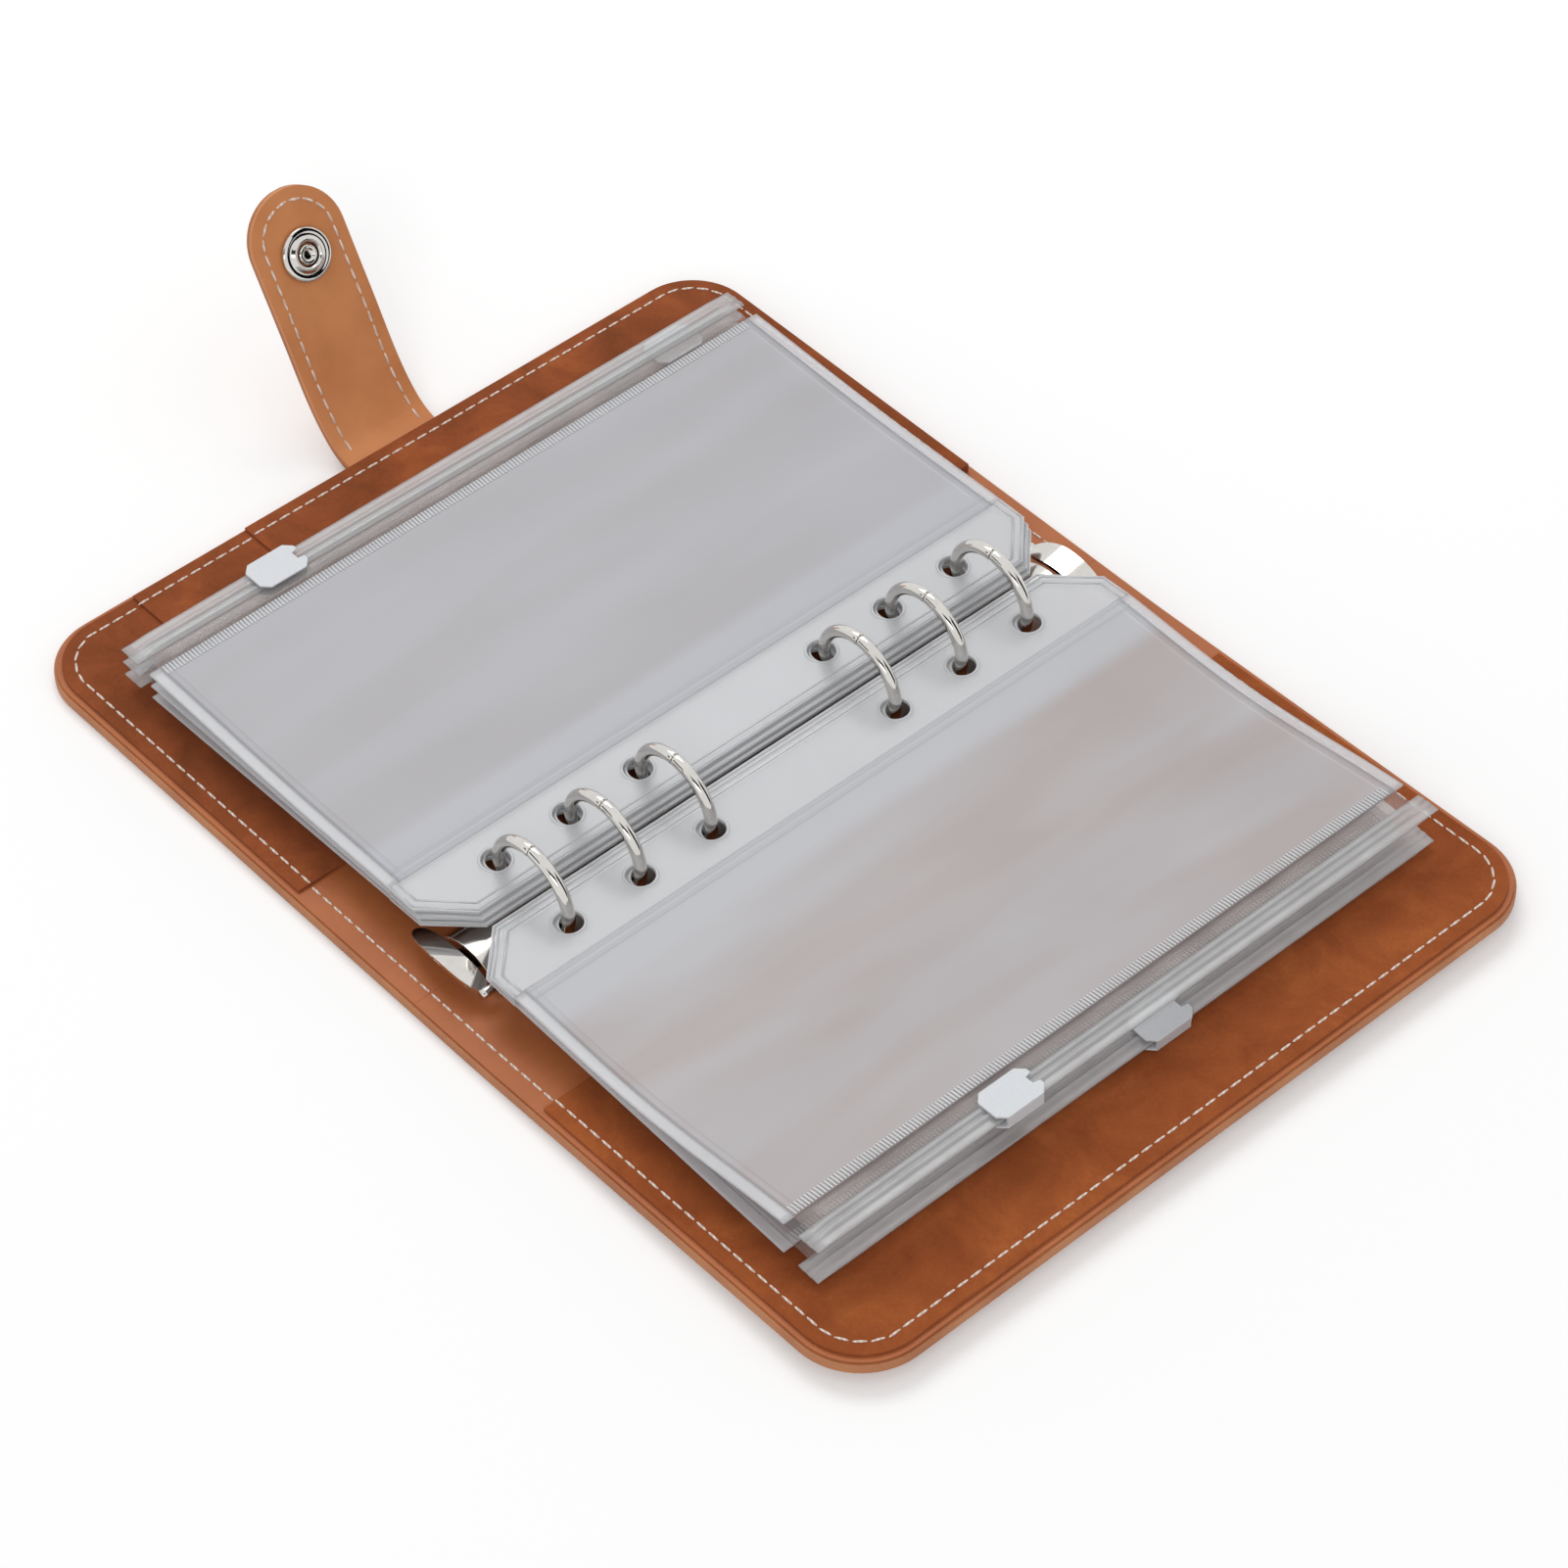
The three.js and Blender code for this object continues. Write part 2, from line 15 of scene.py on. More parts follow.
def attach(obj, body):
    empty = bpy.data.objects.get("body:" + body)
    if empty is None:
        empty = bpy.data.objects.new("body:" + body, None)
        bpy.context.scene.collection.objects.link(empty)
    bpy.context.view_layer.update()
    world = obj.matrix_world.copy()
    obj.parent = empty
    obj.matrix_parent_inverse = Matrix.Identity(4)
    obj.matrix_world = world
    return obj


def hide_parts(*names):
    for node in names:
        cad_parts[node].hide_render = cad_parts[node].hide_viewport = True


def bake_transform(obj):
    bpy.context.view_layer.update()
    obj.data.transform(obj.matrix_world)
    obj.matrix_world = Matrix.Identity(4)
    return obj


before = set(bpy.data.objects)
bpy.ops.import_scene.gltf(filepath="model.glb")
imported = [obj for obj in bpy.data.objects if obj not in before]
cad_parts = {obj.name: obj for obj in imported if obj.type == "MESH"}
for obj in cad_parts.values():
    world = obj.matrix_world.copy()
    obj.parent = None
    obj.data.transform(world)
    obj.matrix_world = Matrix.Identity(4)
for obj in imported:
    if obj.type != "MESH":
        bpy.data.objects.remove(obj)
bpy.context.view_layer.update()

# %% [markdown]
# ## Units and sizes
#
# Blender works in metres, and a wallet is easier to think about in millimetres. One value turns one
# into the other. The sizes are those of the frame, so a piece made from them sits where it should.

# %% Sizes of the cover
MM = 0.001
COVER_LENGTH = 191.4
COVER_REACH = 131.3
CORNER_RADIUS = 16.0
FOLD_X = 20.0
FOLD_HEIGHT = 2.9
BEND_HALF = 6.0
PANEL_REACH = 38.8
RIM_HEIGHT = 2.2
LINING_BOTTOM = 2.25
LINING_TOP = 2.8
PANEL_TOP = 3.6
LINING_INSET = 1.8
LINING_RIM = 0.6
POCKET_EDGES = (-68.0, -37.5)
POCKET_TOPS = (4.3, 5.0)
RIGHT_TILT = math.radians(1.617)

# %% Sizes of the rings and envelopes
RING_PLACES = (-63.5, -44.5, -25.5, 25.5, 44.5, 63.5)
RING_RADIUS = 11.0
WIRE_RADIUS = 1.4
RING_HEIGHT = 13.8
HOLE_LINE = 11.1
HOLE_RADIUS = 3.1
POUCH_START = 19.5
POUCH_EDGE = 100.0
ZIP_EDGE = 109.0
HALF_ENVELOPE = 85.0
CORNER_CUT = 9.5
ENVELOPES = {
    "left_envelope_1": (-1, 0, 14.6, -46.0),
    "left_envelope_2": (-1, 1, 11.0, 66.0),
    "left_envelope_3": (-1, 2, 7.4, 52.0),
    "right_envelope_1": (1, 0, 17.5, -32.0),
    "right_envelope_2": (1, 1, 8.1, 9.0),
}
print("envelopes:", len(ENVELOPES), "rings:", len(RING_PLACES))

# %% [markdown]
# ## Camera
#
# The photograph was taken with a long lens from about 46 degrees up. A long lens keeps the far cover
# nearly as large as the near one, so the focal length matters as much as the direction.

# %% Camera
def place_object(name, data):
    made = bpy.data.objects.new(name, data)
    bpy.context.scene.collection.objects.link(made)
    return made


camera_data = bpy.data.cameras.new("photo_camera")
camera_data.sensor_width = 36.0
camera_data.lens = 114.71
camera_data.clip_start = 0.05
camera_data.clip_end = 20.0
camera = place_object("photo_camera", camera_data)
camera.location = (0.53428, -0.47575, 0.76019)
camera.rotation_euler = Euler([math.radians(a) for a in (43.235, -0.002, 48.067)])
bpy.context.scene.camera = camera
print("lens:", camera_data.lens, "mm")

# %% [markdown]
# ## Colour and node helpers
#
# Colours are written as they look on a screen. Shaders want linear light, so one function turns a
# hex value into linear numbers. A second small function adds a shader node with its settings, and
# links any input that is given as another node's socket.

# %% Colour
def linear(code):
    channels = [int(code[i:i + 2], 16) / 255 for i in (1, 3, 5)]
    light = [c / 12.92 if c <= 0.04045 else ((c + 0.055) / 1.055) ** 2.4 for c in channels]
    return (*light, 1.0)


# %% Nodes
def add(tree, kind, inputs=None, **settings):
    made = tree.nodes.new(kind)
    for name, value in settings.items():
        setattr(made, name, value)
    for name, value in (inputs or {}).items():
        if isinstance(value, bpy.types.NodeSocket):
            tree.links.new(value, made.inputs[name])
        else:
            made.inputs[name].default_value = value
    return made


def start_finish(name):
    material = bpy.data.materials.new(name)
    material.use_nodes = True
    material.node_tree.nodes.clear()
    return material, material.node_tree, add(material.node_tree, "ShaderNodeTexCoord").outputs["Object"]


def blend(tree, factor, first, second):
    # Two written colours, mixed by a pattern
    colours = {0: factor, 6: linear(first), 7: linear(second)}
    return add(tree, "ShaderNodeMix", colours, data_type="RGBA")


def cloudy(tree, place, size_mm, detail, **more):
    # Noise with patches of about this size
    inputs = {"Vector": place, "Scale": 1 / (size_mm * MM), "Detail": detail, **more}
    return add(tree, "ShaderNodeTexNoise", inputs)


def remap(tree, source, low, high, bottom=0.0, top=1.0, **settings):
    inputs = {"Value": source.outputs[0], "From Min": low, "From Max": high, "To Min": bottom, "To Max": top}
    return add(tree, "ShaderNodeMapRange", inputs, **settings)


def relief(tree, source, strength, depth_mm):
    inputs = {"Height": source.outputs[0], "Strength": strength, "Distance": depth_mm * MM}
    return add(tree, "ShaderNodeBump", inputs)


def surface(material, shader):
    add(material.node_tree, "ShaderNodeOutputMaterial", {"Surface": shader.outputs[0]})
    return material


def finish(material, look):
    return surface(material, add(material.node_tree, "ShaderNodeBsdfPrincipled", look))


# %% [markdown]
# ## Leather finishes
#
# The outside and the strap are polyurethane leather: cloth coated with plastic and pressed with a
# grain. Cells of about a millimetre give that grain, and a slow noise gives the shade of a coat
# that was not laid perfectly even. The inner panels are brushed like suede, so they have no shine,
# a soft mottle a centimetre or two wide and a short nap.

# %% Pressed polyurethane leather
def pressed_leather(name, dark, light, grain_mm=0.9, roughness=0.52):
    # A thin plastic coat: an even tan with a soft sheen, and fine pores that only show up close
    material, tree, place = start_finish(name)
    cloud = cloudy(tree, place, 14, 4.0)
    shade = remap(tree, cloud, 0.35, 0.65)
    colour = blend(tree, shade.outputs[0], dark, light)
    cells = add(tree, "ShaderNodeTexVoronoi", {"Vector": place, "Scale": 1 / (grain_mm * MM)})
    pores = cloudy(tree, place, 0.5, 3.0)
    height = add(tree, "ShaderNodeMath", {0: cells.outputs[0], 1: pores.outputs[0]}, operation="ADD")
    grain = relief(tree, height, 0.22, 0.08)
    coat = remap(tree, cloud, 0.0, 1.0, roughness - 0.06, roughness + 0.08)
    look = {
        "Base Color": colour.outputs[2],
        "Roughness": coat.outputs[0],
        "Specular IOR Level": 0.3,
        "IOR": 1.48,
        "Normal": grain.outputs[0],
    }
    return finish(material, look)


turned_edge = pressed_leather("pu_leather_pressed_turned_edge", "#AF6F49", "#C08258")
strap_back = pressed_leather("pu_leather_pressed_strap_back", "#A86A42", "#BA7B52")
tan_lining = pressed_leather("pu_leather_pressed_lining", "#AC6237", "#B96D40", 1.1, 0.5)
# The strap's inner face is the lining leather painted lighter: painted light, since the lamps light that
# face less
strap_face_painted_light = pressed_leather("pu_leather_pressed_strap_face_painted_light", "#CC8350", "#D88F5B", 1.1, 0.5)


# %% Brushed suede
def brushed_suede(name, dark, middle, light):
    # A raised nap: matt and warm, in cloudy patches where the fibres lie another way
    material, tree, place = start_finish(name)
    patches = cloudy(tree, place, 16, 6.0, Roughness=0.6, Distortion=0.5)
    nap = cloudy(tree, place, 0.8, 4.0)
    low = remap(tree, patches, 0.3, 0.52)
    high = remap(tree, patches, 0.52, 0.7)
    shade = blend(tree, low.outputs[0], dark, middle)
    patched = add(
        tree, "ShaderNodeMix", {0: high.outputs[0], 6: shade.outputs[2], 7: linear(light)}, data_type="RGBA"
    )
    lie = remap(tree, nap, 0.0, 1.0, 0.84, 1.16)
    colour = add(
        tree,
        "ShaderNodeMix",
        {0: 1.0, 6: patched.outputs[2], 7: lie.outputs[0]},
        data_type="RGBA",
        blend_type="MULTIPLY",
    )
    fuzz = relief(tree, nap, 0.35, 0.12)
    look = {
        "Base Color": colour.outputs[2],
        "Roughness": 0.92,
        "Specular IOR Level": 0.15,
        "Sheen Weight": 0.08,
        "Sheen Roughness": 0.5,
        "Normal": fuzz.outputs[0],
    }
    return finish(material, look)


left_suede = brushed_suede("pu_suede_brushed_left", "#7B401F", "#924C28", "#A85D30")
right_suede = brushed_suede("pu_suede_brushed_right", "#8B451F", "#9C5228", "#AE6130")
print("leathers:", turned_edge.name, tan_lining.name, left_suede.name)

# %% [markdown]
# ## Thread, board and metal
#
# Thread is polyester and twisted; its slanted bands under a millimetre apart are painted shade in
# the grooves between the plies. The board is grey pulp. Nickel plating is a metal with a slightly
# warm tint; faint clouds from polishing blur it a little.

# %% Thread and board
def twisted_thread(name, dark, light):
    # Two plies wound together: off-white, with a slanted line of painted shade in the groove at every turn
    material, tree, place = start_finish(name)
    painted_groove_shade = add(
        tree,
        "ShaderNodeTexWave",
        {"Vector": place, "Scale": 1 / (2.4 * MM), "Distortion": 1.0},
        bands_direction="DIAGONAL",
    )
    colour = blend(tree, painted_groove_shade.outputs[1], dark, light)
    look = {"Base Color": colour.outputs[2], "Roughness": 0.7}
    return finish(material, look)


def grey_board(name, dark, light):
    # Recycled pulp rolled flat: dull grey with small darker flecks
    material, tree, place = start_finish(name)
    pulp = cloudy(tree, place, 1.5, 6.0)
    colour = blend(tree, pulp.outputs[0], dark, light)
    look = {"Base Color": colour.outputs[2], "Roughness": 0.95}
    return finish(material, look)


seam_thread = twisted_thread("polyester_thread_twisted", "#D2BBAA", "#F3E6DC")
pulp_board = grey_board("greyboard_rolled_pulp", "#7A7469", "#A09A8E")


# %% Nickel plate
def nickel_plate(name, roughness):
    # Bright plating: sharp reflections with a warm tint, slightly cloudy where it was polished
    material, tree, place = start_finish(name)
    polish = cloudy(tree, place, 3, 5.0)
    tint = blend(tree, polish.outputs[0], "#CBC8C3", "#DEDBD6")
    blur = remap(tree, polish, 0.0, 1.0, roughness - 0.03, roughness + 0.04)
    look = {"Base Color": tint.outputs[2], "Metallic": 1.0, "Roughness": blur.outputs[0]}
    return finish(material, look)


nickel = nickel_plate("nickel_plated_wire", 0.06)
sheet_nickel = nickel_plate("nickel_plated_spring_steel", 0.16)
print("metals:", nickel.name, sheet_nickel.name)

# %% [markdown]
# ## Vinyl film and slider plastic
#
# The film is calendered vinyl with a frosted face: it scatters light, lets the leather below show a
# little, and waves softly because it is thin. Near the punched strip the film is painted cooler and
# whiter, a painted reflection; further out it is painted pinkish grey in soft diagonal bands, partly
# the leather below and partly painted shade. Welds and the zip are the same vinyl left clear.

# %% Frosted film
def frosted_vinyl(name, cool, warm, cover, roughness):
    # Fine frosting: milky and soft, with long faint waves and no sharp reflection
    material, tree, place = start_finish(name)
    # Painted reflection: out to about 30 mm from the ring axis the film is painted cool and whiter
    axes = add(tree, "ShaderNodeSeparateXYZ", {"Vector": place})
    out = add(tree, "ShaderNodeMath", {0: axes.outputs[0]}, operation="ABSOLUTE")
    stretch = {
        "Vector": place,
        "Rotation": (0, 0, math.radians(12)),
        "Scale": (1 / (22 * MM), 1 / (110 * MM), 1.0),
    }
    painted_band_mapping = add(tree, "ShaderNodeMapping", stretch)
    long_noise = {"Vector": painted_band_mapping.outputs[0], "Scale": 1.0, "Detail": 2.0, "Distortion": 0.3}
    painted_band_noise = add(tree, "ShaderNodeTexNoise", long_noise)
    # Painted shade: beyond that the film turns pinkish grey in soft diagonal bands, partly the leather below
    # and partly painted shade
    beyond = remap(tree, out, 28 * MM, 33 * MM, interpolation_type="SMOOTHSTEP")
    band = remap(tree, painted_band_noise, 0.3, 0.7, 1.25, 0.25)
    painted_reflection_shade_mix = add(tree, "ShaderNodeMath", {0: beyond.outputs[0], 1: band.outputs[0]}, operation="MULTIPLY")
    colour = blend(tree, painted_reflection_shade_mix.outputs[0], cool, warm)
    wave = cloudy(tree, place, 30, 1.0)
    soft = relief(tree, wave, 0.5, 0.8)
    look = {
        "Base Color": colour.outputs[2],
        "Roughness": roughness,
        "IOR": 1.53,
        "Alpha": cover,
        "Normal": soft.outputs[0],
    }
    return finish(material, look)


# The cool colours are a painted reflection; the warm ones are partly the leather below and partly painted
# shade
left_film = frosted_vinyl("vinyl_film_frosted_left", "#BABBC1", "#B0AEB2", 0.88, 0.38)
right_film = frosted_vinyl("vinyl_film_frosted_right", "#BFC0C5", "#B2A8A7", 0.88, 0.38)
strip_film = frosted_vinyl("vinyl_film_frosted_strip", "#E2E3E6", "#E2E3E6", 0.55, 0.28)


# %% Clear film and rails
def clear_vinyl(name, code, cover, roughness, ripple_mm):
    # Unfrosted film: the leather shows through, and small ripples catch thin white lights
    material, tree, place = start_finish(name)
    ripple = cloudy(tree, place, ripple_mm, 1.0)
    tone = remap(tree, ripple, 0.0, 1.0, cover - 0.12, cover + 0.12)
    soft = relief(tree, ripple, 0.4, 0.4)
    look = {
        "Base Color": linear(code),
        "Roughness": roughness,
        "IOR": 1.53,
        "Alpha": tone.outputs[0],
        "Normal": soft.outputs[0],
    }
    return finish(material, look)


clear_film = clear_vinyl("vinyl_film_clear", "#C4B8B4", 0.2, 0.14, 14)
clear_rail = clear_vinyl("vinyl_rail_extruded", "#D3D4D5", 0.5, 0.14, 9)
weld_vinyl = clear_vinyl("vinyl_weld_pressed", "#D9DBDD", 0.74, 0.3, 6)
print("films:", left_film.name, clear_film.name, clear_rail.name)


# %% Slider plastic
def moulded_acetal(name, dark, light):
    # Waxy white plastic: light soaks in a little, so the edges glow and the faces stay soft
    material, tree, place = start_finish(name)
    skin = cloudy(tree, place, 0.8, 2.0)
    colour = blend(tree, skin.outputs[0], dark, light)
    grain = relief(tree, skin, 0.1, 0.03)
    look = {
        "Base Color": colour.outputs[2],
        "Roughness": 0.35,
        "IOR": 1.48,
        "Subsurface Weight": 0.1,
        "Subsurface Scale": 1 * MM,
        "Normal": grain.outputs[0],
    }
    return finish(material, look)


slider_plastic = moulded_acetal("acetal_moulded_white", "#CBCFD3", "#D6D9DD")
print("plastic:", slider_plastic.name)

# %% [markdown]
# ## Mesh helpers
#
# Most pieces here are sheets: leather, board, film, bent steel. A sheet is a grid of points on an
# upper face and a second grid on the lower face, sewn together round the rim. A bevel then rounds
# the rim, because no real edge is knife-sharp.

# %% Making an object
def make_object(name, points, faces, material, smooth=True):
    mesh = bpy.data.meshes.new(name)
    mesh.from_pydata([Vector(p) * MM for p in points], [], faces)
    work = bmesh.new()
    work.from_mesh(mesh)
    bmesh.ops.remove_doubles(work, verts=work.verts, dist=0.002 * MM)
    bmesh.ops.recalc_face_normals(work, faces=work.faces)
    work.to_mesh(mesh)
    work.free()
    mesh.materials.append(material)
    if smooth:
        mesh.shade_smooth()
    return place_object(name, mesh)


def apply_modifiers(made):
    graph = bpy.context.evaluated_depsgraph_get()
    finished = bpy.data.meshes.new_from_object(made.evaluated_get(graph))
    made.modifiers.clear()
    made.data = finished
    return made


def soften(made, width_mm, segments=3, angle=40):
    bevel = made.modifiers.new("edge", "BEVEL")
    bevel.width = width_mm * MM
    bevel.segments = segments
    bevel.limit_method = "ANGLE"
    bevel.angle_limit = math.radians(angle)
    bevel.harden_normals = True
    return apply_modifiers(made)


# %% Closed sheet
def closed_sheet(name, rows, columns, upper, lower, material):
    points = [upper(a, b) for a in rows for b in columns]
    points += [lower(a, b) for a in rows for b in columns]
    wide = len(columns)
    under = len(rows) * wide
    faces = []
    for i in range(len(rows) - 1):
        for j in range(wide - 1):
            a = i * wide + j
            faces.append((a, a + wide, a + wide + 1, a + 1))
            faces.append((under + a + 1, under + a + wide + 1, under + a + wide, under + a))
    rim = list(range(wide))
    rim += [i * wide + wide - 1 for i in range(1, len(rows))]
    rim += [(len(rows) - 1) * wide + j for j in range(wide - 2, -1, -1)]
    rim += [i * wide for i in range(len(rows) - 2, 0, -1)]
    for a, b in zip(rim, rim[1:] + rim[:1]):
        faces.append((a, b, under + b, under + a))
    return make_object(name, points, faces, material)


def even(start, stop, count):
    return [start + (stop - start) * i / count for i in range(count + 1)]


# %% Tubes and prisms
def circle(sides):
    turns = [2 * math.pi * k / sides for k in range(sides)]
    return [(math.cos(turn), math.sin(turn)) for turn in turns]


def tube_faces(rows, around, first=0):
    # Quads between rings of points, with both ends closed
    faces = []
    for i in range(rows - 1):
        for k in range(around):
            a = first + i * around + k
            b = first + i * around + (k + 1) % around
            faces.append((a, b, b + around, a + around))
    last = first + (rows - 1) * around
    faces.append(tuple(first + k for k in reversed(range(around))))
    faces.append(tuple(last + k for k in range(around)))
    return faces


def prism(outline, low, high):
    points = [(x, y, z) for z in (low, high) for x, y in outline]
    return points, tube_faces(2, len(outline))


def joined(parts):
    all_points = []
    all_faces = []
    for points, faces in parts:
        first = len(all_points)
        all_points += points
        all_faces += [tuple(first + k for k in face) for face in faces]
    return all_points, all_faces


# %% Turned piece
def spun(profile, sides, closed=False):
    points = [(r * c, r * s, z) for c, s in circle(sides) for r, z in profile]
    count = len(profile)
    faces = []
    for i in range(sides):
        a = i * count
        b = (i + 1) % sides * count
        for j in range(count if closed else count - 1):
            k = (j + 1) % count
            faces.append((a + j, b + j, b + k, a + k))
    return points, faces


def turned(name, profile, material, sides=48):
    return soften(make_object(name, *spun(profile, sides), material), 0.12, 2, 35)


# %% [markdown]
# ## The folding cover
#
# One outer skin runs from edge to edge. It bends at both sides of the spine, so it is made in two
# halves that meet in the middle of the spine, and each half blends from the spine to its cover.
# The outer corners are arcs. Rows of points crowd together there, which keeps the arc round.

# %% Plan of a cover layer
def cover_rows(inner, inset):
    outer = COVER_REACH - inset
    bend = COVER_REACH - CORNER_RADIUS
    stops = even(inner, FOLD_X + 12, 16) if inner < FOLD_X else []
    start = FOLD_X + 12 if inner < FOLD_X else inner
    stops += even(start, bend, 14)[1 if stops else 0:]
    radius = outer - bend
    stops += [bend + radius * math.sin(math.radians(a)) for a in range(6, 91, 6)]
    return stops


def half_width(x, inset):
    bend = COVER_REACH - CORNER_RADIUS
    radius = CORNER_RADIUS - inset
    straight = COVER_LENGTH / 2 - inset
    if x <= bend:
        return straight
    return straight - radius + math.sqrt(max(radius ** 2 - (x - bend) ** 2, 0))


def lift(side, x):
    if side < 0:
        return 0.0
    slope = math.tan(RIGHT_TILT)
    if x < FOLD_X - BEND_HALF:
        return 0.0
    if x < FOLD_X + BEND_HALF:
        return slope * (x - FOLD_X + BEND_HALF) ** 2 / (4 * BEND_HALF)
    return slope * (x - FOLD_X)


# %% Cover layer
def cover_layer(name, side, inner, inset, bottom, top, material, near=None, edge=0.25):
    rows = cover_rows(inner, inset)
    columns = even(-1, 1, 24)

    def place(height):
        def point(x, v):
            wide = half_width(x, inset)
            low = -wide if near is None else near
            y = low + (wide - low) * (v + 1) / 2
            return (side * x, y, height + lift(side, x))
        return point

    made = closed_sheet(name, rows, columns, place(top), place(bottom), material)
    return soften(made, edge)


def bend_with_cover(made):
    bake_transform(made)


# %% Skins and linings
for side, label in ((-1, "left"), (1, "right")):
    skin = cover_layer(f"{label}_skin_half", side, 0.0, 0.0, 0.0, RIM_HEIGHT, turned_edge, edge=0.8)
    bend_with_cover(skin)
    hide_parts(f"{label}_cover_skin")
    lining = cover_layer(
        f"{label}_lining_half", side, 0.0, LINING_RIM, LINING_BOTTOM, LINING_TOP, tan_lining, edge=0.2
    )
    bend_with_cover(lining)
    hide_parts(f"{label}_cover_lining")
    if side < 0:
        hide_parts("spine_skin")
        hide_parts("spine_lining")
    print(label, "skin and lining:", len(skin.data.polygons), "faces")

# %% [markdown]
# ## Pocket panels
#
# The suede panels are cut from thinner stock and sewn over the lining. The left one carries two
# card pockets, each a little shorter than the one below, which shows as two steps. Each is a
# separate layer, so the steps cast their own thin shadows.

# %% Panels and card pockets
for side, label, suede in ((-1, "left", left_suede), (1, "right", right_suede)):
    panel = cover_layer(
        f"{label}_suede_panel", side, PANEL_REACH, LINING_INSET, LINING_TOP + 0.05, PANEL_TOP, suede
    )
    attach(panel, f"{label}_cover")
    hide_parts(f"{label}_pocket_panel")
below = PANEL_TOP
for number, (edge, top) in enumerate(zip(POCKET_EDGES, POCKET_TOPS), 1):
    pocket = cover_layer(
        f"card_pocket_{number}", -1, PANEL_REACH, LINING_INSET, below + 0.05, top, left_suede, near=edge
    )
    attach(pocket, "left_cover")
    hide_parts(f"left_card_pocket_{number}")
    below = top
print("pocket steps at y =", POCKET_EDGES)

# %% [markdown]
# ## Stitching
#
# A lockstitch shows as short raised dashes with the thread dipping between them. The dashes follow
# the cover's outline about 4.8 mm in from the edge, so the path is the outline again with a larger
# inset. Each dash is a small pillow of thread pressed into the surface.

# %% Stitch path
STITCH_INSET = 4.8
STITCH_LENGTH = 2.9
STITCH_PITCH = 3.5
THREAD_HALF = 0.3


def seam_path(side):
    straight = COVER_LENGTH / 2 - STITCH_INSET
    outer = COVER_REACH - STITCH_INSET
    radius = CORNER_RADIUS - STITCH_INSET
    path = [Vector((0, -straight, 0)), Vector((outer - radius, -straight, 0))]
    for a in range(-81, 0, 9):
        turn = math.radians(a)
        centre = Vector((outer - radius, -straight + radius, 0))
        path.append(centre + Vector((math.cos(turn), math.sin(turn), 0)) * radius)
    mirrored = [Vector((p.x, -p.y, 0)) for p in reversed(path)]
    return [Vector((side * p.x, p.y, 0)) for p in path + mirrored]


def inner_face(side, x, y):
    if abs(x) < PANEL_REACH:
        height = LINING_TOP
    elif side > 0 or y < POCKET_EDGES[0]:
        height = PANEL_TOP
    else:
        height = POCKET_TOPS[0] if y < POCKET_EDGES[1] else POCKET_TOPS[1]
    return height + lift(side, abs(x))


# %% Thread dashes
def along(path, pitch):
    places = []
    carried = pitch / 2
    for a, b in zip(path, path[1:]):
        length = (b - a).length
        if length < 1e-6:
            continue
        while carried <= length:
            places.append((a + (b - a) * (carried / length), (b - a).normalized()))
            carried += pitch
        carried -= length
    return places


def thread_dashes(name, places, material):
    points = []
    faces = []
    rings = ((-1.0, 0.25), (-0.72, 0.85), (0.0, 1.0), (0.72, 0.85), (1.0, 0.25))
    sides = 6
    for centre, forward, up in places:
        across = forward.cross(up).normalized()
        first = len(points)
        for t, swell in rings:
            for c, s in circle(sides):
                offset = (across * c + up * s * 0.8) * THREAD_HALF * swell
                points.append(centre + forward * t * STITCH_LENGTH / 2 + offset)
        faces += tube_faces(len(rings), sides, first)
    return make_object(name, points, faces, material)


for side, label in ((-1, "left"), (1, "right")):
    dashes = []
    for spot, forward in along(seam_path(side), STITCH_PITCH):
        height = inner_face(side, spot.x, spot.y) + 0.08
        dashes.append((Vector((spot.x, spot.y, height)), forward, Vector((0, 0, 1))))
    seam = thread_dashes(f"{label}_cover_seam", dashes, seam_thread)
    bend_with_cover(seam)
    print(label, "seam:", len(dashes), "stitches")

# %% [markdown]
# ## Arched ring plate
#
# The plate is spring steel bent to a shallow arch, and its two long edges hold the hinge plates
# below. It is a grid over the arch with the cells left out where the wires pass, then given its
# sheet thickness by Solidify.

# %% Arch
PLATE_HALF = 10.0
PLATE_FOOT = 3.1
PLATE_RISE = 5.6
PLATE_LENGTH = 162.0
PLATE_SHEET = 0.8
ARCH_RADIUS = (PLATE_HALF ** 2 + PLATE_RISE ** 2) / (2 * PLATE_RISE)
ARCH_CENTRE = PLATE_FOOT + PLATE_RISE - ARCH_RADIUS
SLOT_HALF = 1.85
SLOT_INNER = 5.6
slot_outer = math.sqrt(ARCH_RADIUS ** 2 - (PLATE_FOOT + 1.25 - ARCH_CENTRE) ** 2)
arch_xs = even(0, SLOT_INNER, 8) + even(SLOT_INNER, slot_outer, 6)[1:] + even(slot_outer, PLATE_HALF, 2)[1:]
arch_xs = [-x for x in reversed(arch_xs[1:])] + arch_xs
arch_ys = [-PLATE_LENGTH / 2]
for ring_y in RING_PLACES:
    arch_ys += [ring_y - SLOT_HALF, ring_y + SLOT_HALF]
arch_ys.append(PLATE_LENGTH / 2)
arch_points = [
    (x, y, ARCH_CENTRE + math.sqrt(ARCH_RADIUS ** 2 - x * x)) for y in arch_ys for x in arch_xs
]
arch_faces = []
for j in range(len(arch_ys) - 1):
    for i in range(len(arch_xs) - 1):
        middle = abs(arch_xs[i] + arch_xs[i + 1]) / 2
        if j % 2 == 1 and SLOT_INNER < middle < slot_outer:
            continue
        a = j * len(arch_xs) + i
        arch_faces.append((a, a + 1, a + 1 + len(arch_xs), a + len(arch_xs)))
arch = make_object("arched_ring_plate", arch_points, arch_faces, sheet_nickel)
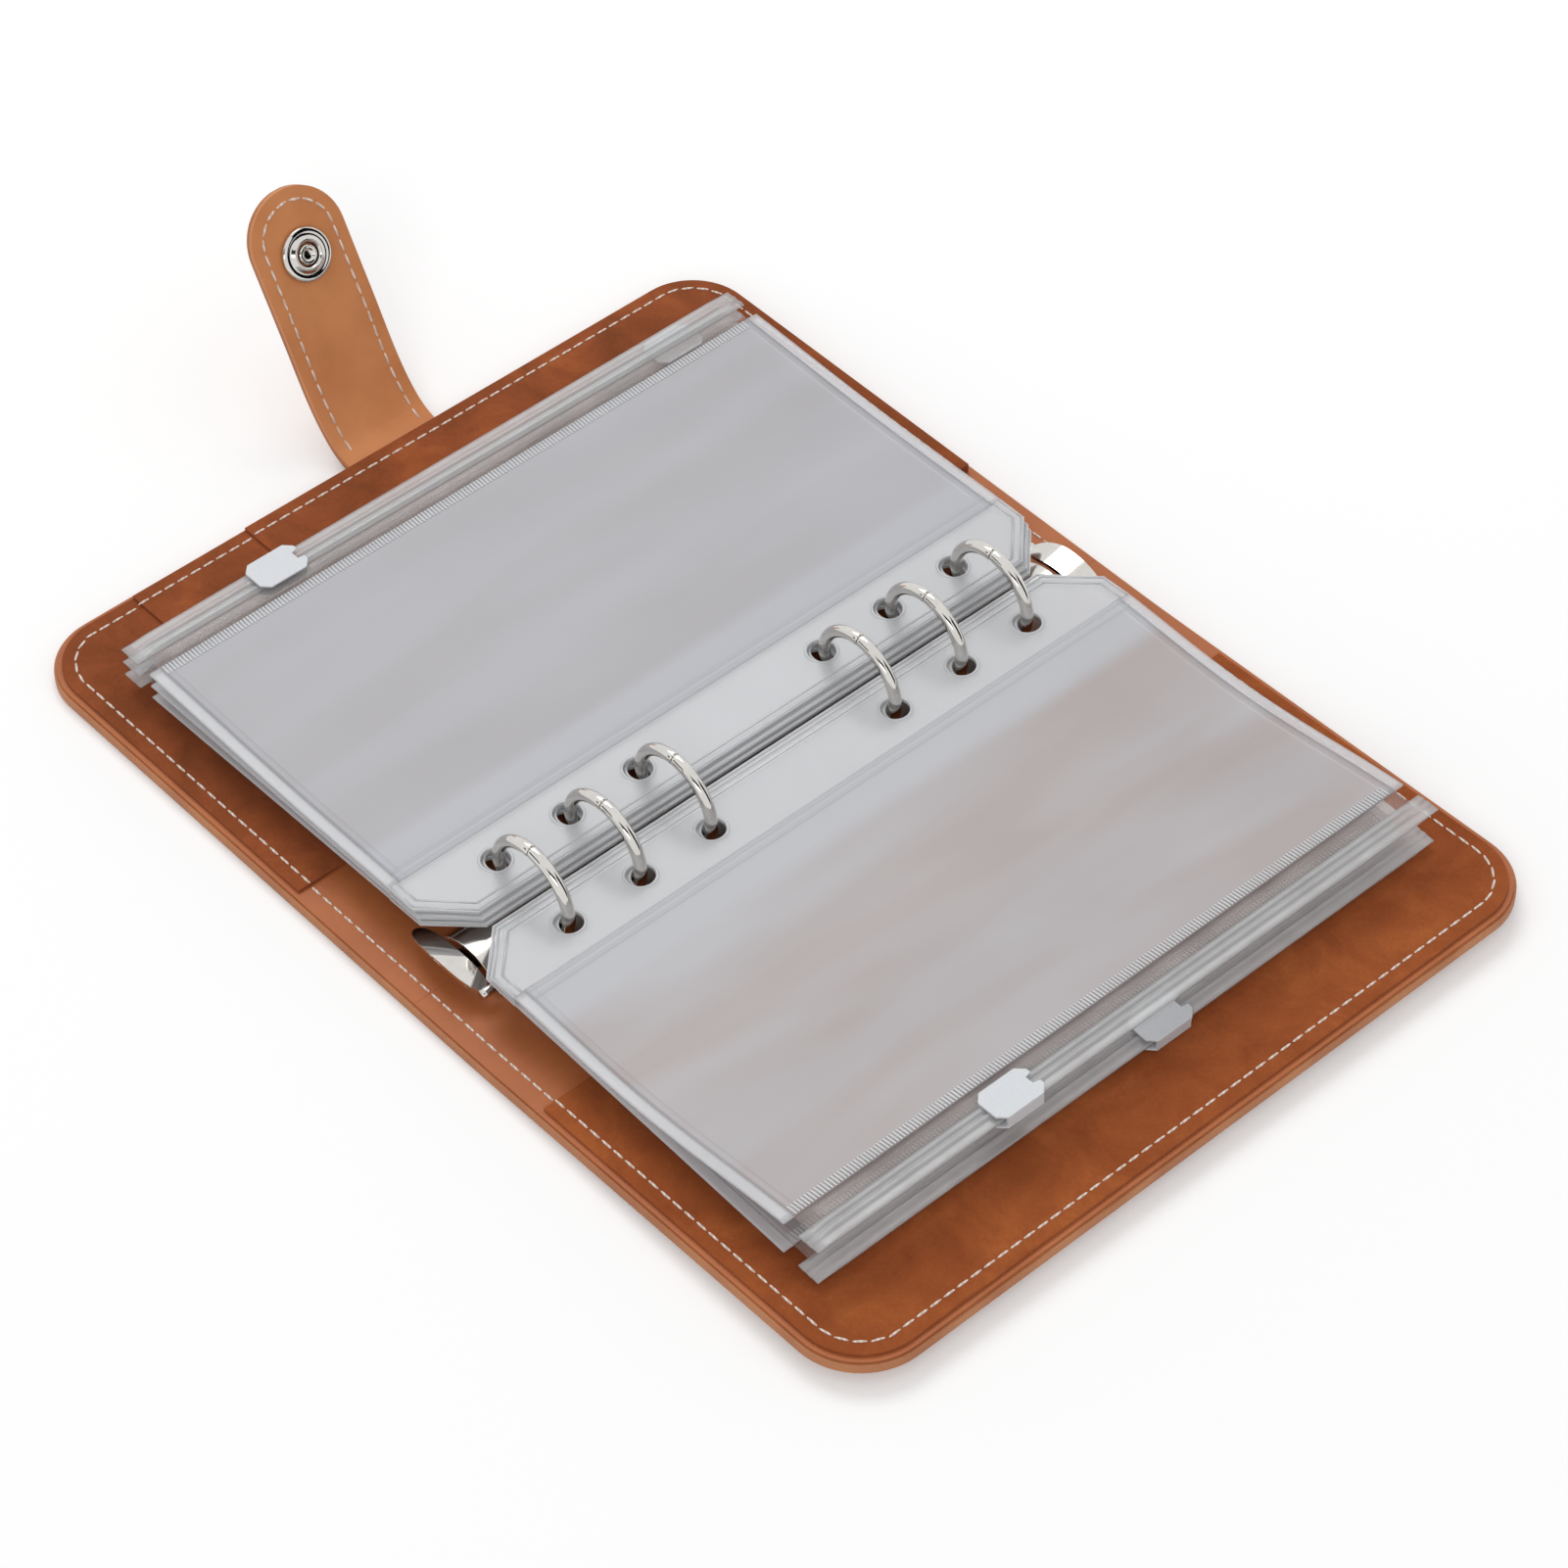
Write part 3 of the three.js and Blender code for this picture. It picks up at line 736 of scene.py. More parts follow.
sheet_steel = arch.modifiers.new("sheet", "SOLIDIFY")
sheet_steel.thickness = PLATE_SHEET * MM
sheet_steel.offset = -1
apply_modifiers(arch)
soften(arch, 0.15, 2, 50)
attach(arch, "spine")
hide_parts("ring_cover_plate")
print("arch:", len(arch.data.polygons), "faces")

# %% [markdown]
# ## Rings
#
# Each ring is two arcs of round wire that meet at the top. A tube is swept along each arc. The
# wire's edge at the joint is slightly rounded, and that thin dark line is what shows that a ring
# opens.

# %% Ring wire
def ring_half(name, side, y):
    start = 90 + math.degrees(0.1 / RING_RADIUS)
    stop = 236.0
    count = 44
    points = []
    around = 20
    rows = [(0.0, 0.82), (0.4, 0.96)] + [(t, 1.0) for t in even(0.012, 1.0, count)]
    for index, (t, size) in enumerate(rows):
        share = t / 100 if index < 2 else t
        angle = math.radians(start + (stop - start) * share)
        out = Vector((side * -math.cos(angle), 0, math.sin(angle)))
        centre = Vector((0, y, RING_HEIGHT)) + out * RING_RADIUS
        for c, s in circle(around):
            points.append(centre + (out * c + Vector((0, 1, 0)) * s) * WIRE_RADIUS * size)
    return make_object(name, points, tube_faces(len(rows), around), nickel)


for side, label in ((-1, "left"), (1, "right")):
    for number, ring_y in enumerate(RING_PLACES, 1):
        half = ring_half(f"{label}_ring_wire_{number}", side, ring_y)
        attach(half, f"{label}_rings")
        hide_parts(f"{label}_ring_{number}")
print("ring halves:", 2 * len(RING_PLACES))

# %% [markdown]
# ## Opening levers
#
# A lever is a rounded blade of thick sheet at each end of the arch. It is slightly domed, one side
# curls down into a lip, and a tongue runs in under the arch to lift the hinge plates.

# %% Lever blade
LEVER_PIVOT = PLATE_FOOT + 1.9
LOBE_REACH = 12.6
LIP_REACH = 9.4
BLADE_DEPTH = 5.6
TONGUE_START = 77.5
TONGUE_HALF = 3.4


def lever_blade(name, end):
    # One end is a round lobe that reaches past the plate, the other is cut short under a lip
    inner = PLATE_LENGTH / 2 + 0.5

    def face(drop):
        def point(a, b):
            x = LIP_REACH * a if a > 0 else LOBE_REACH * a
            reach = BLADE_DEPTH * math.sqrt(max(1 - abs(a) ** (3.2 if a > 0 else 4.5), 0.02))
            y = inner + 0.5 + (b - 0.5) * reach + 2.3 + 0.9 * (1 - a * a)
            z = LEVER_PIVOT + 1.0 + 2.2 * (1 - a * a) + 0.25 * (y - inner)
            return (-end * x, end * y, z - drop)
        return point

    rows = [math.sin(math.radians(d)) for d in range(-90, 91, 5)]
    return soften(closed_sheet(name, rows, even(0, 1, 12), face(0), face(0.9), nickel), 0.3, 3, 50)


# %% Lever lip and tongue
def rolled_lip(name, end):
    # The short end of the blade is rolled down into a small tube
    centre = Vector((-end * 9.6, end * (PLATE_LENGTH / 2 + 2.6), LEVER_PIVOT + 1.1))
    points = []
    sides = 20
    profile = ((-2.0, 0.9), (-1.8, 1.1), (1.8, 1.1), (2.0, 0.9))
    for along_y, radius in profile:
        for c, s in circle(sides):
            points.append(centre + Vector((radius * c, end * along_y, radius * s)))
    return make_object(name, points, tube_faces(len(profile), sides), nickel)


def tongue(name, end):
    inner = PLATE_LENGTH / 2

    def face(extra):
        def point(x, t):
            y = TONGUE_START + t * (inner + 1.0 - TONGUE_START)
            rise = 1.4 * max(0.0, (y - inner + 0.6) / 1.6)
            return (x, end * y, LEVER_PIVOT - 0.3 + extra * (0.8 + rise))
        return point

    rows = even(-TONGUE_HALF, TONGUE_HALF, 4)
    return soften(closed_sheet(name, rows, even(0, 1, 16), face(1), face(0), nickel), 0.12, 2, 50)


# %% Both levers
for end, label in ((-1, "near"), (1, "far")):
    blade = lever_blade(f"{label}_lever_blade", end)
    stem = tongue(f"{label}_lever_tongue", end)
    lip = rolled_lip(f"{label}_lever_lip", end)
    for made in (blade, stem, lip):
        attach(made, f"{label}_lever")
    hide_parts(f"{label}_lever")
    print(label, "lever blade:", len(blade.data.polygons), "faces")

# %% [markdown]
# ## Zip envelopes
#
# Every envelope is drawn flat, out from the ring axis, and then tipped about its line of holes. It
# has a pale strip with six punched holes, a frosted pouch welded shut by double lines, a ribbed weld
# band, a clear band where the leather shows, two clear zip rails and a white slider.

# %% Place of an envelope
TOP_LEAF_DROP = 0.6
LEAF_PITCH = 1.2


def leaf_matrix(name):
    side, below, outer, _ = ENVELOPES[name]
    height = RING_HEIGHT - TOP_LEAF_DROP - LEAF_PITCH * below
    slope = math.atan2(outer - height, ZIP_EDGE - HOLE_LINE)
    shift = Matrix.Translation(Vector((side * HOLE_LINE, 0, height)) * MM)
    return shift @ Matrix.Rotation(-side * slope, 4, "Y")


def seat(made, name):
    made.data.transform(leaf_matrix(name))
    return made


def bump_at(value, places, width):
    return sum(math.exp(-((value - p) / width) ** 2) for p in places)


def eased(value, low, high):
    t = min(max((value - low) / (high - low), 0.0), 1.0)
    return t * t * (3 - 2 * t)


# %% Punched strip
# The leaves lie loosely on the rings, so their holes are a little off each other
HOLE_SHIFTS = ((0.3, -0.4), (0.5, 0.9), (0.5, -0.8))
STRIP_STARTS = (2.8, 1.4, 0.4)
STRIP_FACES = (-0.5, 0.2)


def strip_outline(edge, inset):
    near = edge + inset
    far = POUCH_START + 0.2
    end = HALF_ENVELOPE - inset
    cut = CORNER_CUT - 0.4 * inset
    low_half = [(near, -end + cut), (near + cut, -end), (far, -end)]
    return low_half + [(u, -y) for u, y in reversed(low_half)]


def punched_strip(name, side, below):
    out, along_y = HOLE_SHIFTS[below]
    outline = strip_outline(STRIP_STARTS[below], 0.0)
    points, faces = prism([(side * (u - HOLE_LINE), y) for u, y in outline], *STRIP_FACES)
    flat = make_object(f"{name}_strip", points, faces, strip_film, smooth=False)
    cutters = []
    for hole_y in RING_PLACES:
        bpy.ops.mesh.primitive_cylinder_add(
            vertices=48,
            radius=HOLE_RADIUS * MM,
            depth=4 * MM,
            location=(side * out * MM, (hole_y + along_y) * MM, 0),
        )
        cutters.append(bpy.context.object)
    for cutter in cutters:
        punch = flat.modifiers.new("punch", "BOOLEAN")
        punch.object = cutter
        punch.solver = "EXACT"
    apply_modifiers(flat)
    for cutter in cutters:
        bpy.data.objects.remove(cutter)
    return soften(flat, 0.08, 2, 50)


# %% Raised weld lines
WELD_INSETS = (0.5, 2.1)


def raised_line(corners, side, top, half=0.28, height=0.16):
    points = []
    faces = []
    for (u0, y0), (u1, y1) in zip(corners, corners[1:]):
        run = Vector((u1 - u0, y1 - y0)).normalized()
        across = Vector((-run.y, run.x)) * half
        first = len(points)
        for u, y in ((u0, y0), (u1, y1)):
            for shift, rise in ((-1, 0.0), (-0.5, height), (0.5, height), (1, 0.0)):
                x = side * (u + across.x * shift - HOLE_LINE)
                points.append((x, y + across.y * shift, top + rise))
        faces += tube_faces(2, 4, first)
    return points, faces


def hole_rim(centre_x, centre_y, top):
    lip = ((0.05, 0.0), (0.15, 0.16), (0.5, 0.14), (0.7, 0.0))
    points, faces = spun([(HOLE_RADIUS + r, top + z) for r, z in lip], 40, closed=True)
    return [(x + centre_x, y + centre_y, z) for x, y, z in points], faces


def weld_lines(name, side, below):
    out, along_y = HOLE_SHIFTS[below]
    parts = []
    for inset in WELD_INSETS:
        outline = strip_outline(STRIP_STARTS[below], inset)
        parts.append(raised_line(outline[2::-1] + outline[:2:-1], side, 0.19))
    parts += [hole_rim(side * out, hole_y + along_y, 0.17) for hole_y in RING_PLACES]
    return make_object(f"{name}_strip_welds", *joined(parts), weld_vinyl)


# %% Waves and sag of the film
BORDER = 2.6
POUCH_END = POUCH_EDGE - 0.7
SEAM_LINES = (0.9, 2.9)
END_SEAM = 1.6
SAGS = {"left_envelope_1": 0.7, "right_envelope_1": 2.6}


def pouch_height(seed, u, y):
    # Thin film never lies flat, except where the strip, the zip and the side welds hold it
    slow = noise.noise(Vector((u / 60, y / 34, seed * 7.3)))
    quick = noise.noise(Vector((u / 26, y / 90, seed * 3.1 + 5)))
    inside = eased(u, POUCH_START + 3, POUCH_START + 18) * (1 - eased(u, POUCH_EDGE - 14, POUCH_EDGE - 3))
    inside *= eased(HALF_ENVELOPE - abs(y), 4, 20)
    return (0.4 * slow + 0.25 * quick) * inside


def sag_at(name, u):
    # The top leaf rests on the one below near the rings and only lifts towards its zip
    t = min(max((u - POUCH_START) / (POUCH_END - POUCH_START), 0.0), 1.0)
    return -SAGS.get(name, 0.0) * math.sin(math.pi * t ** 0.9) ** 1.5


def pouch_half(u, y):
    # Two films a hair apart, pressed together at the seams, which stand up as thin ridges
    swell = 0.35 * eased(u, POUCH_START, POUCH_START + 22) * (1 - eased(u, POUCH_EDGE - 22, POUCH_EDGE - 4))
    swell *= eased(HALF_ENVELOPE - abs(y), 4, 26)
    seam_u = [POUCH_START + line for line in SEAM_LINES]
    seam_y = (HALF_ENVELOPE - BORDER, HALF_ENVELOPE - BORDER - END_SEAM)
    return 0.2 + swell + 0.16 * bump_at(u, seam_u, 0.32) + 0.14 * bump_at(abs(y), seam_y, 0.3)


# %% Frosted pouch and its pale border
def film_grid(name, leaf, side, seed, us, ys, material):
    def face(sign):
        def point(u, y):
            middle = pouch_height(seed, u, y) + sag_at(leaf, u)
            return (side * (u - HOLE_LINE), y, middle + sign * pouch_half(u, y))
        return point

    return closed_sheet(name, us, ys, face(1), face(-1), material)


def pouch(name, side, seed):
    fine = [d * 0.28 for d in range(-2, 3)]
    us = even(POUCH_START, POUCH_END, 48)
    us = sorted(us + [POUCH_START + line + d for line in SEAM_LINES for d in fine])
    inner = HALF_ENVELOPE - BORDER
    ys = even(-inner, inner, 68)
    ys = sorted(ys + [s * (inner - END_SEAM + d) for d in fine for s in (-1, 1)])
    film = left_film if side < 0 else right_film
    return film_grid(f"{name}_pouch", name, side, seed, us, ys, film)


def pale_border(name, side, seed, end):
    us = even(POUCH_START, POUCH_END, 44)
    ys = [end * y for y in even(HALF_ENVELOPE - BORDER + 0.02, HALF_ENVELOPE, 5)]
    return film_grid(f"{name}_border_{'near' if end < 0 else 'far'}", name, side, seed, us, ys, strip_film)


# %% Ribbed weld and clear band beside the zip
RIB_PITCH = 0.85
RIB_FACES = (-0.1, 0.36)
RIB_MARGIN = 3.0


def weld_ribs(name, side):
    inner = POUCH_EDGE - 3.3
    outer = POUCH_EDGE - 0.8
    slanted = ((inner, 0.0), (outer, 0.2), (outer, 0.6), (inner, 0.4))
    parts = []
    count = int(2 * (HALF_ENVELOPE - RIB_MARGIN) / RIB_PITCH)
    for i in range(count):
        y = -HALF_ENVELOPE + RIB_MARGIN + i * RIB_PITCH
        corners = [(side * (u - HOLE_LINE), y + v) for u, v in slanted]
        parts.append(prism(corners, *RIB_FACES))
    return make_object(f"{name}_weld_ribs", *joined(parts), weld_vinyl, smooth=False)


def clear_band(name, side):
    us = even(POUCH_EDGE - 0.6, POUCH_EDGE + 3.9, 4)
    ys = even(-HALF_ENVELOPE + BORDER, HALF_ENVELOPE - BORDER, 30)
    return closed_sheet(
        f"{name}_clear_band",
        us,
        ys,
        lambda u, y: (side * (u - HOLE_LINE), y, 0.18),
        lambda u, y: (side * (u - HOLE_LINE), y, -0.18),
        clear_film,
    )


# %% Zip rails
def zip_rails(name, side):
    start = POUCH_EDGE + 3.4
    profile = [(start, 0.3)]
    for rib in (start + 1.1, start + 3.0):
        for turn in range(0, 181, 30):
            a = math.radians(turn)
            profile.append((rib - 0.7 * math.cos(a), 0.35 + 0.55 * math.sin(a)))
    profile += [(start + 4.0, 0.3), (ZIP_EDGE - 0.5, 0.3), (ZIP_EDGE, 0.42)]

    def face(sign):
        def point(row, y):
            u, height = profile[row]
            squeeze = 1 - 0.6 * eased(abs(y), HALF_ENVELOPE - 6, HALF_ENVELOPE - 3)
            return (side * (u - HOLE_LINE), y, sign * height * squeeze)
        return point

    ys = [-HALF_ENVELOPE, -HALF_ENVELOPE + 3, -HALF_ENVELOPE + 4.5, -HALF_ENVELOPE + 6]
    ys += even(-HALF_ENVELOPE + 7, HALF_ENVELOPE - 7, 20) + [-y for y in reversed(ys)]
    return closed_sheet(f"{name}_rails", range(len(profile)), ys, face(1), face(-1), clear_rail)


# %% Slider
def zip_slider(name, side, y):
    inner, outer, half, bevel = POUCH_EDGE + 1.6, ZIP_EDGE + 1.2, 6.5, 1.8
    notch = (inner + outer) / 2
    outline = [
        (inner + bevel, -half), (outer - bevel, -half), (outer, -half + bevel), (outer, half - bevel),
        (outer - bevel, half), (notch + 1.3, half), (notch + 1.0, half - 1.6), (notch - 1.0, half - 1.6),
        (notch - 1.3, half), (inner + bevel, half), (inner, half - bevel), (inner, -half + bevel),
    ]
    plate = [(side * (u - HOLE_LINE), y + v) for u, v in outline]
    parts = [prism(plate, low, low + 0.5) for low in (1.15, -1.65)]
    tall = half - bevel
    back = [(outer - 0.8, tall), (outer, tall), (outer, -tall), (outer - 0.8, -tall)]
    parts.append(prism([(side * (u - HOLE_LINE), y + v) for u, v in back], -1.3, 1.3))
    made = make_object(f"{name}_zip_slider", *joined(parts), slider_plastic)
    return soften(made, 0.16, 3, 30)


# %% All five envelopes
for seed, (name, (side, below, outer, slider_y)) in enumerate(ENVELOPES.items(), 1):
    stack = "left_envelopes" if side < 0 else "right_envelopes"
    film_pieces = [punched_strip(name, side, below), pouch(name, side, seed), weld_lines(name, side, below)]
    film_pieces += [pale_border(name, side, seed, end) for end in (-1, 1)]
    for made in film_pieces:
        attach(seat(made, name), stack)
    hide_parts(name)
    zip_pieces = [zip_rails(name, side), weld_ribs(name, side), clear_band(name, side)]
    for made in zip_pieces:
        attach(seat(made, name), stack)
    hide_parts(f"{name}_zip")
    runner = seat(zip_slider(name, side, slider_y), name)
    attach(runner, f"{name}_slider")
    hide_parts(f"{name}_slider")
    print(name, "pouch:", len(film_pieces[1].data.polygons), "faces")

# %% [markdown]
# ## Strap
#
# The strap is two layers sewn together, fixed in the left cover's edge. It bends up just outside
# that edge and runs on nearly straight to its round tip. Its line is a smooth curve through a few
# points, and each layer is a sheet that keeps a fixed distance from that line. Near its root it
# blends from the cover to the strap.

# %% Strap line
STRAP_STOPS = (
    (-127.5, 1.9), (-131.9, 2.3), (-137.2, 5.0), (-143.3, 12.2),
    (-151.3, 26.5), (-158.9, 40.0), (-166.3, 53.4),
)
STRAP_WIDTH = 24.3
STRAP_CENTRE = 5.4
SNAP_FROM_TIP = 15.5


def curve_through(stops, per_span=24):
    points = [Vector((x, 0, z)) for x, z in stops]
    line = []
    for i in range(len(points) - 1):
        a, b = points[i], points[i + 1]
        before = points[i - 1] if i else a * 2 - b
        after = points[i + 2] if i + 2 < len(points) else b * 2 - a
        span = (b - a).length
        leave = (b - before) / (span + (a - before).length) * span
        reach = (after - a) / ((after - b).length + span) * span
        for k in range(per_span):
            t = k / per_span
            line.append(
                a * (2 * t ** 3 - 3 * t ** 2 + 1)
                + leave * (t ** 3 - 2 * t ** 2 + t)
                + b * (3 * t ** 2 - 2 * t ** 3)
                + reach * (t ** 3 - t ** 2)
            )
    return line + [points[-1]]


strap_line = curve_through(STRAP_STOPS)
strap_marks = [0.0]
for a, b in zip(strap_line, strap_line[1:]):
    strap_marks.append(strap_marks[-1] + (b - a).length)
STRAP_LENGTH = strap_marks[-1]
print("strap length:", round(STRAP_LENGTH, 1), "mm")


# %% A point on the strap
def strap_point(s):
    s = min(max(s, 0.0), STRAP_LENGTH)
    i = max(k for k, mark in enumerate(strap_marks[:-1]) if mark <= s)
    t = (s - strap_marks[i]) / (strap_marks[i + 1] - strap_marks[i])
    point = strap_line[i].lerp(strap_line[i + 1], t)
    before = strap_line[max(i - 1, 0)]
    after = strap_line[min(i + 2, len(strap_line) - 1)]
    forward = (after - before).normalized()
    return point, forward, Vector((forward.z, 0, -forward.x))


def strap_half_width(s, inset=0.0):
    radius = STRAP_WIDTH / 2
    over = max(s - (STRAP_LENGTH - radius), 0.0)
    return math.sqrt(max((radius - inset) ** 2 - over ** 2, 0.0)) if over else radius - inset


# %% Strap layers
def strap_layer(name, top, bottom, material):
    radius = STRAP_WIDTH / 2
    stops = even(0, STRAP_LENGTH - radius, 40)
    stops += [STRAP_LENGTH - radius + radius * math.sin(math.radians(a)) for a in range(6, 89, 6)]

    def face(offset):
        def point(s, v):
            spot, _, up = strap_point(s)
            z = max(spot.z + up.z * offset, 0.1)
            return (spot.x + up.x * offset, STRAP_CENTRE + v * strap_half_width(s), z)
        return point

    layer = closed_sheet(name, stops, even(-1, 1, 12), face(top), face(bottom), material)
    return soften(layer, 0.3, 3, 50)


def bend_with_strap(made):
    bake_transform(made)


# The inner layer takes the lining leather painted lighter, as painted light for a face the lamps light less
strap_inside = strap_layer("strap_inner_layer", 0.0, -0.9, strap_face_painted_light)
strap_outside = strap_layer("strap_outer_layer", -0.92, -2.1, strap_back)
for made, node, slot in (
    (strap_inside, "strap_lining", "lining_leather"),
    (strap_outside, "strap_skin", "outer_leather"),
):
    bend_with_strap(made)
    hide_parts(node)

# %% Strap stitching
STRAP_SEAM_INSET = 3.0
STRAP_SEAM_START = 7.0
strap_path = []
for s in even(STRAP_SEAM_START, STRAP_LENGTH - STRAP_WIDTH / 2, 40):
    strap_path.append((s, -STRAP_WIDTH / 2 + STRAP_SEAM_INSET))
straight = list(strap_path)
for a in range(-84, 85, 6):
    reach = STRAP_WIDTH / 2 - STRAP_SEAM_INSET
    turn = math.radians(a)
    strap_path.append((STRAP_LENGTH - STRAP_WIDTH / 2 + reach * math.cos(turn), reach * math.sin(turn)))
strap_path += [(s, -v) for s, v in reversed(straight)]
for label, offset in (("inner", 0.06), ("outer", -2.16)):
    flat_path = [Vector((s, v, 0)) for s, v in strap_path]
    dashes = []
    for spot, forward in along(flat_path, STITCH_PITCH):
        point, ahead, up = strap_point(spot.x)
        centre = point + up * offset + Vector((0, STRAP_CENTRE + spot.y, 0))
        direction = (ahead * forward.x + Vector((0, 1, 0)) * forward.y).normalized()
        dashes.append((centre, direction, up))
    strap_seam = thread_dashes(f"strap_{label}_seam", dashes, seam_thread)
    bend_with_strap(strap_seam)
    print(label, "strap seam:", len(dashes), "stitches")

# %% [markdown]
# ## Snap
#
# The snap is three turned pieces: a socket with a wide flange on the strap's inner face, a domed cap
# on its outer face, and one stud on the right cover in place of both stud and rivet. Each is a
# profile turned about an axis. The flange is left plain.

# %% Socket and cap
snap_point, _, snap_up = strap_point(STRAP_LENGTH - SNAP_FROM_TIP)
snap_turn = Vector((0, 0, 1)).rotation_difference(snap_up).to_matrix().to_4x4()
snap_seat = Matrix.Translation((snap_point + Vector((0, STRAP_CENTRE, 0))) * MM) @ snap_turn
socket_profile = [
    (2.55, 0.3), (6.2, 0.3), (6.2, 0.75), (6.0, 1.1), (5.5, 1.3), (5.0, 1.25), (4.5, 1.15), (4.1, 1.3),
    (3.7, 1.75), (3.3, 1.85), (2.95, 1.7), (2.7, 1.3), (2.55, 0.9), (2.55, 0.3),
]
cap_profile = [
    (0.0, -3.9), (2.0, -3.85), (3.8, -3.6), (5.2, -3.15), (6.0, -2.7), (6.2, -2.4), (6.0, -2.2), (2.1, -2.2),
    (2.1, 1.1), (2.3, 1.35), (2.0, 1.6), (1.5, 1.55), (1.1, 1.2), (0.0, 1.15),
]
for name, profile, node in (
    ("snap_socket_flange", socket_profile, "snap_socket"),
    ("snap_cap_dome", cap_profile, "snap_cap"),
):
    made = turned(name, profile, nickel)
    made.data.transform(snap_seat)
    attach(made, "strap")
    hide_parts(node)
print("snap height:", round(snap_point.z, 1), "mm")

# %% Stud on the right cover
STUD_INSET = 10.0
stud_x = COVER_REACH - STUD_INSET
tilt_pivot = Vector((FOLD_X, 0, FOLD_HEIGHT)) * MM
stud_seat = Matrix.Translation(tilt_pivot) @ Matrix.Rotation(-RIGHT_TILT, 4, "Y")
stud_seat = stud_seat @ Matrix.Translation(Vector((stud_x - FOLD_X, STRAP_CENTRE, -FOLD_HEIGHT)) * MM)
stud_profile = [
    (0.0, 0.2), (4.6, 0.2), (4.6, -0.3), (4.2, -0.6), (2.6, -0.9), (2.1, -1.4), (2.3, -1.9), (2.6, -2.2),
    (2.4, -2.6), (1.9, -2.75), (1.6, -2.5), (0.0, -2.4),
]
stud = turned("snap_stud_button", stud_profile, nickel)
stud.data.transform(stud_seat)
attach(stud, "right_cover")
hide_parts("snap_stud", "snap_stud_rivet")
print("stud at x =", stud_x, "mm")

# %% Plate rivets
RIVET_PLACES = (-70.0, 70.0)
rivet_top = PLATE_FOOT + PLATE_RISE
rivet_profile = [
    (0.0, 1.2), (2.1, 1.2), (2.1, 1.7), (1.25, 1.9), (1.25, rivet_top + 0.05), (2.2, rivet_top + 0.05),
    (2.15, rivet_top + 0.4), (1.7, rivet_top + 0.75), (0.9, rivet_top + 0.95), (0.0, rivet_top + 1.0),
]
for number, rivet_y in enumerate(RIVET_PLACES, 1):
    rivet = turned(f"plate_rivet_head_{number}", rivet_profile, nickel, 32)
    rivet.data.transform(Matrix.Translation((0, rivet_y * MM, 0)))
    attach(rivet, "spine")
    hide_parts(f"plate_rivet_{number}")
print("rivets at y =", RIVET_PLACES)

# %% [markdown]
# ## Pieces kept from the frame
#
# The boards and the two hinge plates already have their true shape and are mostly hidden. They
# keep their meshes and only get their finish.

# %% Finishes for kept pieces
kept = {
    "spine_board": pulp_board,
    "left_cover_board": pulp_board,
    "right_cover_board": pulp_board,
    "left_hinge_plate": sheet_nickel,
    "right_hinge_plate": sheet_nickel,
}
for name, finish in kept.items():
    for material_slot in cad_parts[name].material_slots:
        material_slot.material = finish
print("kept pieces:", len(kept))

# %% [markdown]
# ## Table and light
#
# The photograph has a white ground. The floor is a pale matt plane, and a little glow that lights
# nothing else brings it to white while the wallet's shadow stays. Two large soft lamps and an even
# sky light the wallet at a plain level, and dark cards out of view give the nickel its contrast.

# %% Floor
FLOOR_GLOW = 0.16


def seen_directly(tree):
    # One for rays from the camera, a mirror or through a film, and nought for rays that light things
    rays = add(tree, "ShaderNodeLightPath").outputs
    first = {0: rays["Is Camera Ray"], 1: rays["Is Glossy Ray"]}
    either = add(tree, "ShaderNodeMath", first, operation="MAXIMUM")
    second = {0: either.outputs[0], 1: rays["Is Transmission Ray"]}
    return add(tree, "ShaderNodeMath", second, operation="MAXIMUM").outputs[0]


floor_finish, tree, place = start_finish("floor_matt_paint")
paint = add(tree, "ShaderNodeBsdfDiffuse", {"Color": linear("#F6F6F6"), "Roughness": 0.5})
lift_by = add(tree, "ShaderNodeMath", {0: seen_directly(tree), 1: FLOOR_GLOW}, operation="MULTIPLY")
glow = add(tree, "ShaderNodeEmission", {"Strength": lift_by.outputs[0]})
both = add(tree, "ShaderNodeAddShader", {0: paint.outputs[0], 1: glow.outputs[0]})
surface(floor_finish, both)
floor_mesh = bpy.data.meshes.new("floor")
floor_corners = [(x, y, -0.0004) for x, y in ((-6, -6), (6, -6), (6, 6), (-6, 6))]
floor_mesh.from_pydata(floor_corners, [], [(0, 1, 2, 3)])
floor_mesh.materials.append(floor_finish)
floor = place_object("floor", floor_mesh)

